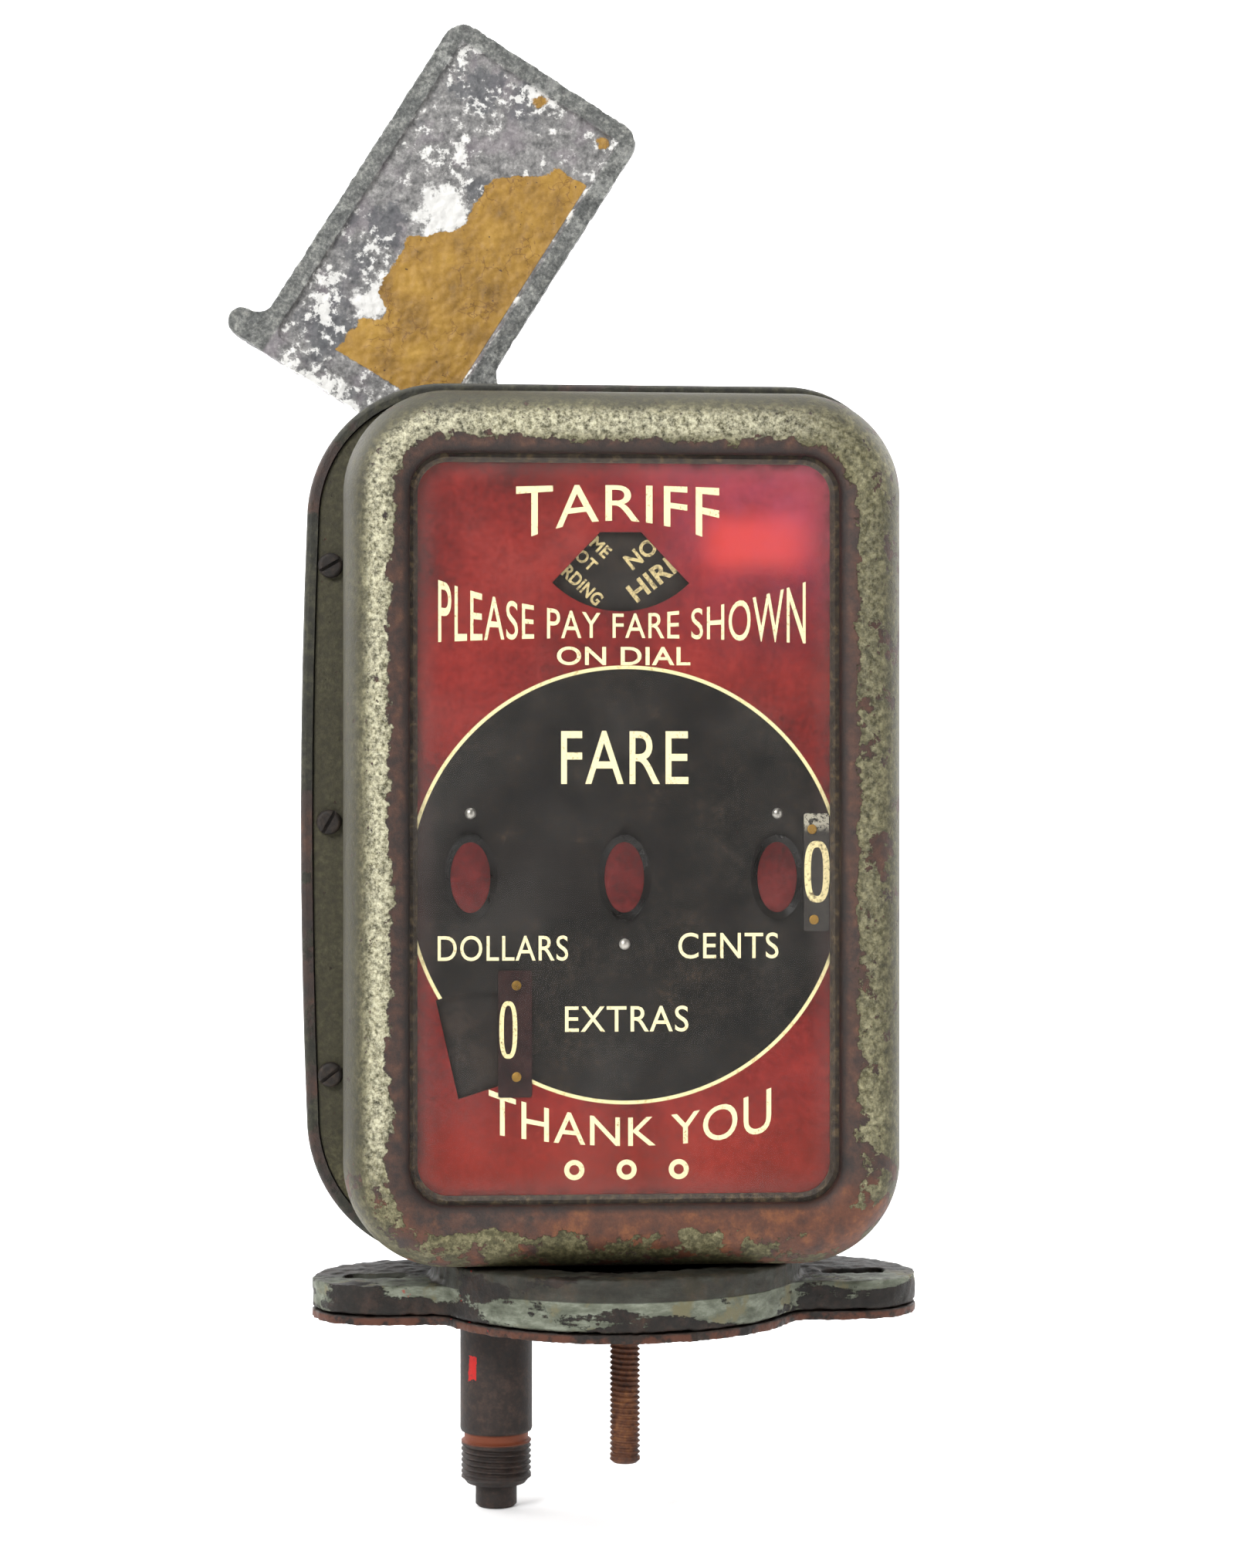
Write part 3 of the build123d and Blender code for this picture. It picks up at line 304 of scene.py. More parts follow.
def foot_finish():
    """Dark brown iron with blue-grey paint left in patches and a few red specks."""
    f = Finish("foot_paint")
    patch = f.noise(22, 6, 0.6, 31, stretch=(1.7, 1, 0.42))
    grain = f.noise(2.0, 6, 0.72, 32)
    iron = f.ramp(f.noise(5, 7, 0.7, 33),
                  (0.3, "0a0806"), (0.5, "1a140f"), (0.66, "30221a"), (0.82, "523625"))
    paint = f.ramp(f.noise(5, 6, 0.66, 34, stretch=(2.0, 1, 0.6)),
                   (0.3, "3a3e31"), (0.5, "5e6254"), (0.75, "8c9182"))
    paint = f.blend(f.step(f.noise(9, 4, 0.6, 35), 0.54, 0.64), paint, "646048")
    side = f.times(f.step(f.z, 2.7, 3.4), f.step(f.y, 10, -8))
    ear = f.step(f.math("ABSOLUTE", f.x), 46, 52)
    bar = f.add(0.44, f.times(ear, 0.04))
    level = f.add(patch, f.times(f.math("SUBTRACT", grain, 0.5), 0.2))
    share = f.times(f.step(f.math("SUBTRACT", level, bar), 0.0, 0.03), side)
    top = f.step(f.z, 10.2, 10.6)
    share = f.times(share, f.math("SUBTRACT", 1.0, f.times(top, 0.85)))
    look = f.blend(share, iron, paint)
    rust_edge = f.times(f.step(f.z, 2.4, 1.6), f.step(f.noise(6, 5, 0.66, 38), 0.42, 0.56))
    look = f.blend(f.times(rust_edge, 0.7), look, "5b3220")
    red = f.step(f.noise(2.4, 3, 0.5, 36), 0.70, 0.72)
    look = f.blend(f.times(red, f.step(f.math("ABSOLUTE", f.add(f.x, 46)), 14, 8)), look, "9c1611")
    f.put(base_color=look, metallic=0.1, roughness=f.add(0.45, f.times(grain, 0.3)))
    f.shader.inputs["Specular IOR Level"].default_value = 0.35
    relief = f.bump(f.add(f.times(share, 0.8), f.times(grain, 0.7)), 0.34)
    f.bump(f.noise(0.8, 3, 0.7, 37), 0.09, relief)
    return f.material


def rust_finish(name, dark, middle, light, seed, marked=False):
    """Rusty steel. The cable coupling also has a dab of red paint and a rusty groove."""
    f = Finish(name)
    grain = f.noise(1.6, 6, 0.7, seed)
    patch = f.noise(7, 5, 0.62, seed + 1)
    look = f.ramp(f.add(f.times(grain, 0.6), f.times(patch, 0.4)), (0.34, dark), (0.5, middle), (0.68, light))
    if marked:
        groove = f.within(f.z, -32.6, 0.9, 0.9)
        look = f.blend(f.times(groove, 0.75), look, "7d3d20")
        torn = f.times(f.math("SUBTRACT", patch, 0.5), 7)
        dab = f.times(f.within(f.add(f.x, f.times(torn, 0.35)), -38.4, 0.9, 0.15),
                      f.within(f.add(f.z, torn), -13, 3.0, 0.2))
        dab = f.times(dab, f.step(f.y, 0, -1))
        dab = f.times(dab, f.step(grain, 0.36, 0.44))
        look = f.blend(dab, look, "b3150f")
    f.put(base_color=look, metallic=0.25, roughness=f.add(0.5, f.times(grain, 0.3)))
    f.bump(f.add(grain, f.times(patch, 0.5)), 0.16)
    return f.material


def metal_finish(name, dark, light, rough, seed, metal=0.9):
    """Machined metal, lightly tarnished, with fine scratches."""
    f = Finish(name)
    stain = f.noise(6, 5, 0.6, seed)
    lines = f.noise(1.2, 3, 0.6, seed + 1, stretch=(1, 1, 0.12))
    look = f.ramp(f.add(f.times(stain, 0.7), f.times(lines, 0.3)), (0.32, dark), (0.66, light))
    f.put(base_color=look, metallic=metal, roughness=f.add(rough, f.times(stain, 0.25)))
    f.bump(lines, 0.02)
    return f.material


def dial_finish():
    """Printed enamel dial: a mottled black circle with a cream ring on mottled red."""
    f = Finish("dial_print")
    radius = f.radius_from(ring_x, ring_z)
    soft = f.noise(26, 6, 0.62, 41)
    fine = f.noise(1.5, 5, 0.78, 42)
    cloud = f.noise(9, 6, 0.6, 43)
    red = f.ramp(f.add(f.times(soft, 0.6), f.times(fine, 0.4)),
                 (0.34, "3c0a08"), (0.46, "641613"), (0.56, "7b201b"), (0.70, "8f2f27"))
    # painted reflection: the orange-red glow of light on the glass to the right of the tariff window, painted
    # into the dial red
    painted_glass_reflection = f.times(f.within(f.z, 204, 2.0, 9), f.times(f.within(f.x, 34, 6, 14), f.step(f.x, 10, 24)))
    red = f.blend(f.times(painted_glass_reflection, 0.7), red, "d8402a")
    lower = f.step(f.z, 70, 40)
    red = f.blend(f.times(lower, 0.28), red, "93301a")
    upper = f.times(f.step(f.z, 165, 220), f.step(f.x, -20, 45))
    red = f.blend(f.times(f.times(upper, 0.7), cloud), red, "b0506a")
    black = f.ramp(f.add(f.times(cloud, 0.45), f.times(fine, 0.55)),
                   (0.38, "080706"), (0.5, "15120f"), (0.60, "221d18"), (0.74, "443828"))
    patch = f.times(f.within(f.x, -28.4, 22.2, 0.5), f.within(f.z, 116.4, 9.6, 0.4))
    black = f.blend(f.times(patch, 0.6), black, "120d0b")
    ring = f.within(radius, ring_radius, 0.35, 0.22)
    cream = f.blend(f.step(fine, 0.5, 0.75), "e6d9a2", "9d8850")
    body = f.blend(f.step(radius, ring_radius - 0.1, ring_radius + 0.1), black, red)
    look = f.blend(ring, body, cream)
    away = f.window_distance()
    dust = f.times(f.step(away, -8.5, -1.5), f.add(0.1, f.times(cloud, 0.3)))
    look = f.blend(f.times(dust, 0.25), look, "7c4c4a")
    grime = f.times(f.step(away, -4.5, -1.8), f.step(f.noise(6, 5, 0.6, 44), 0.42, 0.62))
    look = f.blend(f.times(grime, 0.6), look, "2c0f0c")
    pits = f.step(f.noise(2.6, 2, 0.5, 45), 0.78, 0.8)
    look = f.blend(f.times(pits, 0.7), look, "201210")
    # the dished rims of the three oval windows get painted shade in their colour and are rubbed smooth, with
    # lower roughness
    beside = f.math("MINIMUM", f.math("ABSOLUTE", f.x), f.math("ABSOLUTE", f.math(
        "SUBTRACT", f.math("ABSOLUTE", f.x), oval_x)))
    up = f.math("SUBTRACT", f.z, oval_z)
    oval = f.math("SQRT", f.add(f.math("POWER", f.math("DIVIDE", beside, oval_half_width), 2.0),
                                f.math("POWER", f.math("DIVIDE", up, oval_half_height), 2.0)))
    oval_rim_shade_and_gloss = f.step(oval, 1.5, 1.2)
    look = f.blend(f.times(oval_rim_shade_and_gloss, 0.6), look, "0b0a09")
    rough = f.math("SUBTRACT", f.add(0.40, f.times(cloud, 0.2)), f.times(oval_rim_shade_and_gloss, 0.22))
    f.put(base_color=look, roughness=rough)
    f.shader.inputs["Specular IOR Level"].default_value = 0.22
    f.bump(fine, 0.03)
    return f.material


def print_finish(name, main, worn, seed, share=0.66):
    """Cream dial printing, flecked where the ink has gone."""
    f = Finish(name)
    fleck = f.noise(0.7, 4, 0.7, seed)
    broad = f.noise(5, 4, 0.6, seed + 1)
    gone = f.step(f.add(f.times(fleck, 0.7), f.times(broad, 0.3)), share - 0.14, share + 0.04)
    look = f.blend(gone, main, worn)
    f.put(base_color=look, roughness=0.55)
    f.bump(fleck, 0.02)
    return f.material


def plate_finish(name, dark, middle, light, seed, rough=0.4, metal=0.0):
    """Painted sheet with fine mottling."""
    f = Finish(name)
    grain = f.noise(1.4, 5, 0.7, seed)
    broad = f.noise(8, 5, 0.6, seed + 1)
    mottle = f.add(f.times(grain, 0.45), f.times(broad, 0.55))
    look = f.ramp(mottle, (0.32, dark), (0.5, middle), (0.7, light))
    f.put(base_color=look, metallic=metal, roughness=f.add(rough, f.times(broad, 0.2)))
    f.shader.inputs["Specular IOR Level"].default_value = 0.25
    f.bump(grain, 0.04)
    return f.material


def cents_label_finish():
    """The cents label: black, worn to bare metal at its top corners."""
    f = Finish("cents_label")
    grain = f.noise(1.1, 5, 0.7, 51)
    bare = f.times(f.step(f.z, 128.5, 131.5), f.step(grain, 0.42, 0.5))
    look = f.ramp(grain, (0.35, "1b1815"), (0.6, "2e2924"), (0.8, "4a4238"))
    look = f.blend(bare, look, "b9b3a0")
    f.put(base_color=look, metallic=f.times(bare, 0.6), roughness=0.4)
    f.bump(grain, 0.04)
    return f.material


def frame_finish():
    """The dark bronze frame between glass and dial, mottled with lighter grain."""
    f = Finish("glass_frame_bronze")
    grain = f.noise(2.2, 5, 0.68, 61)
    look = f.ramp(grain, (0.34, "1c1610"), (0.52, "3a2f22"), (0.7, "66543a"), (0.85, "8d7a55"))
    f.put(base_color=look, metallic=0.4, roughness=0.42)
    f.bump(grain, 0.06)
    return f.material


def flag_frame(f):
    """Coordinates along and across the flag's own plate, in the stored position."""
    a = math.radians(flag_tilt)
    dx = f.math("SUBTRACT", f.x, flag_x)
    dz = f.math("SUBTRACT", f.z, flag_z)
    u = f.math("SUBTRACT", f.times(dx, math.cos(a)), f.times(dz, math.sin(a)))
    v = f.add(f.times(dx, math.sin(a)), f.times(dz, math.cos(a)))
    return u, v


def flag_finish():
    """Cast grey metal with white oxide and lilac stain, and a cracked ochre paint patch on the front."""
    f = Finish("flag_cast_metal")
    u, v = flag_frame(f)
    across = f.math("SUBTRACT", u, flag_axis)
    fine = f.noise(0.9, 5, 0.72, 71)
    grain = f.noise(3.0, 7, 0.7, 72)
    broad = f.noise(15, 6, 0.62, 73)
    ragged = f.noise(6, 7, 0.66, 76)

    def spot(su, sv, size):
        """A ragged blot at (su, sv) on the flag, size millimetres in radius."""
        du = f.math("SUBTRACT", across, su)
        dv = f.math("SUBTRACT", v, sv)
        reach = f.math("SQRT", f.add(f.times(du, du), f.times(dv, dv)))
        reach = f.add(reach, f.times(f.math("SUBTRACT", ragged, 0.5), 4.5 * size))
        return f.step(reach, size * 1.25, size * 0.8)

    grey = f.ramp(f.add(f.times(grain, 0.62), f.times(fine, 0.38)),
                  (0.34, "3f3f3f"), (0.46, "6d6c6b"), (0.57, "949290"), (0.72, "cbc9c4"))
    lilac = f.step(f.noise(11, 5, 0.6, 74), 0.50, 0.64)
    grey = f.blend(f.times(lilac, 0.35), grey, "82777f")
    dark = f.step(f.noise(17, 4, 0.55, 75), 0.54, 0.66)
    dark = f.math("MAXIMUM", dark, f.math("MAXIMUM", spot(-14.6, 79.4, 6.0), spot(-16.0, 32.0, 4.5)))
    grey = f.blend(f.times(dark, 0.65), grey, "46484d")
    oxide = f.step(f.add(f.times(broad, 0.5), f.times(grain, 0.5)), 0.53, 0.57)
    oxide = f.math("MAXIMUM", oxide, f.math("MAXIMUM", spot(-6.0, 44.0, 6.0), spot(-7.5, 11.0, 5.0)))
    grey = f.blend(f.times(oxide, 0.8), grey, "e4e3df")
    rim = f.math("SUBTRACT", flag_half, f.math("ABSOLUTE", across))
    rim = f.math("MINIMUM", rim, f.math("SUBTRACT", flag_top, v))
    rim_share = f.step(rim, flag_rim + 0.2, flag_rim - 0.8)
    rim_look = f.ramp(f.add(f.times(fine, 0.6), f.times(grain, 0.4)),
                      (0.35, "303231"), (0.5, "5c5e5b"), (0.66, "999a92"))
    look = f.blend(f.times(rim_share, 0.85), grey, rim_look)
    # the ochre patch leans along the right; its left edge steps in above the middle and again near the top
    left_edge = f.add(f.add(-9.0, f.times(f.step(v, 31, 44), 10.5)), f.times(f.step(v, 58, 73), 14.0))
    left_edge = f.add(left_edge, f.times(f.within(v, 9.5, 0.8, 4.0), 6.5))
    wobble = f.times(f.math("SUBTRACT", ragged, 0.5), 9)
    inside = f.step(f.math("SUBTRACT", f.add(across, wobble), left_edge), -0.3, 0.3)
    inside = f.times(inside, f.step(f.add(v, f.times(wobble, 0.5)), 72.5, 72.0))
    inside = f.times(inside, f.step(rim, flag_rim + 0.6, flag_rim + 1.0))
    foot_line = f.math("SUBTRACT", f.add(v, f.times(wobble, 0.3)), f.times(f.step(across, 12, 24), 7.0))
    inside = f.times(inside, f.step(foot_line, -6.2, -5.8))
    chips = f.step(f.noise(5, 6, 0.65, 77), 0.72, 0.70)
    spots = f.math("MAXIMUM", spot(1.6, 86.0, 1.6), spot(22.5, 85.4, 1.6))
    front = f.step(f.y, flag_front + 0.1, flag_front - 0.1)
    ochre_share = f.times(f.math("MAXIMUM", f.times(inside, chips), spots), front)
    ochre = f.ramp(f.add(f.times(f.noise(9, 5, 0.6, 79), 0.7), f.times(fine, 0.3)),
                   (0.3, "70511a"), (0.5, "997328"), (0.68, "b08937"), (0.85, "c5a04e"))
    craze = f.step(f.cracks(6.5, 3), 0.035, 0.008)
    ochre = f.blend(f.times(craze, f.times(f.step(f.noise(14, 3, 0.5, 80), 0.44, 0.6), 0.6)), ochre, "644016")
    ochre = f.blend(f.step(f.noise(1.6, 3, 0.5, 81), 0.70, 0.74), ochre, "4f3416")
    look = f.blend(ochre_share, look, ochre)
    bare = f.math("SUBTRACT", 1.0, ochre_share)
    f.put(base_color=look, metallic=f.times(bare, 0.25), roughness=f.add(0.46, f.times(grain, 0.25)))
    relief = f.bump(f.add(f.times(grain, f.add(0.15, bare)), f.times(ochre_share, 0.9)), 0.34)
    f.bump(fine, 0.09, relief)
    return f.material


def glass_finish():
    """Old flat glass with a faint haze of dust."""
    f = Finish("dial_glass")
    haze = f.noise(30, 6, 0.65, 91)
    rub = f.noise(5, 5, 0.7, 92, stretch=(3, 1, 0.5))
    away = f.window_distance()
    film = f.add(f.times(f.step(haze, 0.4, 0.75), 0.025), f.times(f.step(rub, 0.55, 0.8), 0.018))
    film = f.add(film, f.times(f.step(away, -9, -1), 0.03))
    f.put(base_color=colour("c8c2bb"), roughness=0.08, alpha=f.add(0.006, f.times(film, 0.6)))
    f.material.surface_render_method = "BLENDED"
    return f.material


def floor_finish():
    """A plain pale floor with barely visible unevenness."""
    f = Finish("pale_floor")
    f.put(base_color=f.ramp(f.noise(180, 3, 0.5, 95), (0.3, "f2f2f2"), (0.7, "fafafa")), roughness=0.75)
    return f.material


CASING = casing_finish()
SHELL = shell_finish()
FOOT = foot_finish()
STUD_RUST = rust_finish("stud_rust", "1f110b", "54301c", "855632", 101)
COUPLING_RUST = rust_finish("coupling_rust", "120d0b", "251b16", "43322a", 111, marked=True)
DARK_STEEL = metal_finish("dark_steel", "14120f", "37312a", 0.45, 121, 0.6)
SCREW = rust_finish("screw_rust", "0c0907", "1f1813", "42362b", 125)
BRIGHT_STEEL = metal_finish("bright_steel", "74716b", "bdb9b0", 0.25, 131)
BRASS = metal_finish("brass", "5d4622", "b08a45", 0.28, 141)
PLATE_BRASS = metal_finish("plate_brass", "6b5226", "a98543", 0.32, 145)
SPRING_STEEL = metal_finish("spring_steel", "252a38", "4a5266", 0.3, 151)
FRAME_BRONZE = frame_finish()
DIAL = dial_finish()
CREAM = print_finish("cream_print", "ecdfae", "8c6f45", 161)
CREAM_DARK = print_finish("cream_print_dark", "e3d39c", "6a5a3c", 165, 0.62)
DISC_CREAM = print_finish("disc_print", "c9b680", "5d4f35", 169, 0.6)
DISC_BLACK = plate_finish("disc_black", "0f0d0b", "1f1a16", "352c24", 171, 0.38)
LABEL_BLACK = plate_finish("extras_label", "14090a", "251514", "3d2723", 175, 0.25)
CENTS_LABEL = cents_label_finish()
SHUTTER_RED = plate_finish("shutter_red", "2c0706", "501211", "6c2421", 181, 0.42)
DRUM_BLACK = plate_finish("drum_black", "101010", "1d1c1b", "2c2a28", 185, 0.35)
FLAG_METAL = flag_finish()
GLASS = glass_finish()
FLOOR = floor_finish()

node_finish = {
    "base_plate": FOOT, "base_casting": FOOT, "mounting_stud": STUD_RUST, "stud_nut": DARK_STEEL,
    "cable_coupling": COUPLING_RUST, "spindle_bush": COUPLING_RUST, "base_screws": DARK_STEEL,
    "rear_case": SHELL, "front_casing": CASING, "case_screws": SCREW, "back_screws": SCREW,
    "front_glass": GLASS, "glass_frame": FRAME_BRONZE, "dial_plate": DIAL, "dial_rivets": BRIGHT_STEEL,
    "cents_zero_plate": CENTS_LABEL, "extras_zero_plate": LABEL_BLACK, "label_screws": BRASS,
    "shutter_rails": DARK_STEEL, "fare_shutter": SHUTTER_RED, "front_movement_plate": PLATE_BRASS,
    "rear_movement_plate": PLATE_BRASS, "movement_pillars": BRASS, "pillar_screws": BRIGHT_STEEL,
    "rear_spacers": BRASS, "dial_posts": BRASS, "drum_shaft": BRIGHT_STEEL, "drum_brackets": DARK_STEEL,
    "dollars_drum": DRUM_BLACK, "dimes_drum": DRUM_BLACK, "cents_drum": DRUM_BLACK,
    "click_springs": SPRING_STEEL, "drive_spindle": BRIGHT_STEEL, "worm": BRIGHT_STEEL,
    "spindle_bracket": DARK_STEEL, "worm_wheel": BRASS, "distance_arbor": BRIGHT_STEEL,
    "feed_cam": BRIGHT_STEEL,
    "extras_disc": DISC_BLACK, "extras_shaft": BRIGHT_STEEL, "extras_bush": DARK_STEEL,
    "extras_knob": DARK_STEEL,
    "spring_barrel": BRASS, "mainspring": SPRING_STEEL, "winding_arbor": BRIGHT_STEEL,
    "escape_pinion": BRIGHT_STEEL,
    "escape_wheel": BRASS, "pallet_lever": BRIGHT_STEEL, "balance_wheel": BRASS, "balance_cock": BRASS,
    "tariff_disc": DISC_BLACK, "tariff_arbor": BRIGHT_STEEL, "tariff_gear": BRASS, "flag_shaft": DARK_STEEL,
    "flag_gear": BRASS, "detent_cam": BRIGHT_STEEL, "detent_spring": SPRING_STEEL, "flag_bush": DARK_STEEL,
    "flag": FLAG_METAL, "flag_nut": SCREW,
}
for node, finish in node_finish.items():
    for material_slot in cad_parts[node].material_slots:
        material_slot.material = finish


# ======================= mesh helpers =======================
def add_piece(name, points, faces, body, finish, stands_for=(), sharp=35):
    """A mesh piece from points in millimetres."""
    mesh = bpy.data.meshes.new(name)
    mesh.from_pydata([(x * MM, y * MM, z * MM) for x, y, z in points], [], faces)
    work = bmesh.new()
    work.from_mesh(mesh)
    bmesh.ops.remove_doubles(work, verts=work.verts, dist=1e-7)
    bmesh.ops.recalc_face_normals(work, faces=work.faces)
    work.to_mesh(mesh)
    work.free()
    return dress(name, mesh, body, finish, stands_for, sharp)


def dress(name, mesh, body, finish, stands_for=(), sharp=35):
    """Puts a mesh in the scene with its finish, its body and the nodes it stands in for."""
    piece = bpy.data.objects.new(name, mesh)
    bpy.context.scene.collection.objects.link(piece)
    mesh.materials.clear()
    mesh.materials.append(finish)
    mesh.polygons.foreach_set("use_smooth", [True] * len(mesh.polygons))
    mesh.set_sharp_from_angle(angle=math.radians(sharp))
    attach(piece, body)
    if stands_for:
        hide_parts(*stands_for)
    return piece


def lathe(rings, centre, count=96):
    """Closed turned form about a vertical axis. rings are (radius, z) or (function of angle, z)."""
    points, faces = [], []
    for radius, z in rings:
        for i in range(count):
            a = 2 * math.pi * i / count
            r = radius(a) if callable(radius) else radius
            points.append((centre[0] + r * math.cos(a), centre[1] + r * math.sin(a), z))
    for k in range(len(rings) - 1):
        for i in range(count):
            j = (i + 1) % count
            faces.append((k * count + i, k * count + j, (k + 1) * count + j, (k + 1) * count + i))
    faces.append(tuple(range(count)))
    last = (len(rings) - 1) * count
    faces.append(tuple(last + i for i in reversed(range(count))))
    return points, faces


def thread_rings(outer, depth, pitch, top, bottom):
    """Rings whose radius follows a single-start V thread, rounded at crest and root."""
    def at(z):
        def radius(angle):
            turn = (z / pitch + angle / (2 * math.pi)) % 1.0
            v = abs(2 * turn - 1)
            smooth = v * v * (3 - 2 * v)
            run_in = min(1.0, (top - z) / pitch, (z - bottom) / pitch)
            worn = 0.06 * noise.noise(Vector((math.cos(angle) * 4, math.sin(angle) * 4, z * 0.9)))
            return outer - max(0.0, depth * smooth * max(run_in, 0.0) + worn)
        return radius

    count = max(8, round((top - bottom) / pitch * 9))
    levels = [top + (bottom - top) * k / count for k in range(count + 1)]
    return [(at(z), z) for z in levels]


def cast_copy(node, name, body, finish, voxel, rounding, pit, pit_size, seed):
    """A node's form with its corners rounded and its skin pitted, as an old casting has."""
    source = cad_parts[node]
    mesh = source.data.copy()
    piece = bpy.data.objects.new(name, mesh)
    bpy.context.scene.collection.objects.link(piece)
    work = bmesh.new()
    work.from_mesh(mesh)
    bmesh.ops.remove_doubles(work, verts=work.verts, dist=1e-6)
    work.to_mesh(mesh)
    work.free()
    remesh = piece.modifiers.new("remesh", "REMESH")
    remesh.mode = "VOXEL"
    remesh.voxel_size = voxel * MM
    smooth = piece.modifiers.new("smooth", "SMOOTH")
    smooth.factor = 0.5
    smooth.iterations = rounding
    graph = bpy.context.evaluated_depsgraph_get()
    made = bpy.data.meshes.new_from_object(piece.evaluated_get(graph))
    bpy.data.objects.remove(piece)
    offset = Vector((seed * 3.1, seed * 1.7, seed * 2.3))
    normals = [v.normal.copy() for v in made.vertices]
    for v, n in zip(made.vertices, normals):
        p = v.co / MM
        height = noise.fractal(p / pit_size + offset, 0.9, 2.1, 4)
        v.co -= n * (pit * MM * min(max(0.45 - height, 0.0), 1.0))
    return dress(name, made, body, finish, (node,), 60)


def lettering(name, words, left, right, low, high, y, body, finish, bold=0.02, shape=None):
    """Letters just proud of a surface at depth y. shape(s) gives foot and head at -1 <= s <= 1.

    With no body it returns points and faces, for the caller to place.
    """
    curve = bpy.data.curves.new(name, "FONT")
    curve.body = words
    curve.offset = bold
    curve.extrude = 0.01
    curve.resolution_u = 5
    curve.space_character = 1.06
    holder = bpy.data.objects.new(name, curve)
    bpy.context.scene.collection.objects.link(holder)
    graph = bpy.context.evaluated_depsgraph_get()
    mesh = bpy.data.meshes.new_from_object(holder.evaluated_get(graph))
    bpy.data.objects.remove(holder)
    xs = [v.co.x for v in mesh.vertices]
    ys = [v.co.y for v in mesh.vertices]
    x0, x1, y0, y1 = min(xs), max(xs), min(ys), max(ys)
    points = []
    for v in mesh.vertices:
        s = 2 * (v.co.x - x0) / (x1 - x0) - 1
        t = (v.co.y - y0) / (y1 - y0)
        foot, head = shape(s) if shape else (low, high)
        depth = y - (print_thick if v.co.z > 0 else 0.0)
        points.append(((left + right) / 2 + s * (right - left) / 2, depth, foot + t * (head - foot)))
    faces = [tuple(p.vertices) for p in mesh.polygons]
    bpy.data.meshes.remove(mesh)
    if body is None:
        return points, faces
    return add_piece(name, points, faces, body, finish)


def slab_ring(outer, inner, y_front, y_back):
    """A flat ring between two closed outlines with the same number of points."""
    count = len(outer)
    points = []
    for y in (y_front, y_back):
        points += [(x, y, z) for x, z in outer]
        points += [(x, y, z) for x, z in inner]
    faces = []
    for i in range(count):
        j = (i + 1) % count
        a, b, c, d = 0, count, 2 * count, 3 * count
        faces.append((a + i, a + j, b + j, b + i))
        faces.append((c + i, d + i, d + j, c + j))
        faces.append((a + i, c + i, c + j, a + j))
        faces.append((b + i, b + j, d + j, d + i))
    return points, faces


def zero_outline(cx, cz, half_width, half_height, count=72, power=2.7):
    """A rounded oblong like a figure 0; power 2 makes it an ellipse."""
    outline = []
    for i in range(count):
        a = 2 * math.pi * i / count
        c, s = math.cos(a), math.sin(a)
        outline.append((
            cx + half_width * math.copysign(abs(c) ** (2 / power), c),
            cz + half_height * math.copysign(abs(s) ** (2 / power), s),
        ))
    return outline


# ======================= threads under the foot =======================
def make_stud():
    rings = [(stud_radius - 0.1, plate_thick)]
    rings += thread_rings(stud_radius, 0.62, 1.41, -0.3, stud_bottom + 0.9)
    rings += [(3.1, stud_bottom + 0.1), (2.6, stud_bottom)]
    points, faces = lathe(rings, (stud_x, stud_y), 64)
    add_piece("stud_thread", points, faces, "case", STUD_RUST, ("mounting_stud",), 60)


def make_coupling():
    def dented(radius):
        def at(angle):
            place = Vector((math.cos(angle) * 2, math.sin(angle) * 2, radius * 5))
            return radius - 0.12 * abs(noise.noise(place))
        return at

    rings = [(coupling_radius - 0.1, plate_thick)]
    steps = 14
    for k in range(1, steps):
        rings.append((dented(coupling_radius - 0.002 * k), barrel_bottom * k / steps))
    rings += [(9.65, barrel_bottom + 0.9), (9.4, barrel_bottom + 0.2), (8.9, barrel_bottom)]
    rings += [(8.55, barrel_bottom - 0.5), (8.5, thread_top + 0.5), (9.0, thread_top + 0.1)]
    rings += thread_rings(9.35, 0.75, 1.5, thread_top, thread_bottom)
    rings += [(8.9, thread_bottom - 0.2), (7.9, thread_bottom - 1.5), (7.5, thread_bottom - 1.6)]
    rings += [(5.9, thread_bottom - 1.6), (5.55, thread_bottom - 1.2), (5.52, thread_bottom + 1.0)]
    points, faces = lathe(rings, (coupling_x, 0.0), 96)
    add_piece("coupling_body", points, faces, "case", COUPLING_RUST, ("cable_coupling",), 50)


# ======================= dial print =======================
def arch(foot_mid, foot_end, head_mid, head_end):
    return lambda s: (foot_mid + (foot_end - foot_mid) * s * s, head_mid + (head_end - head_mid) * s * s)


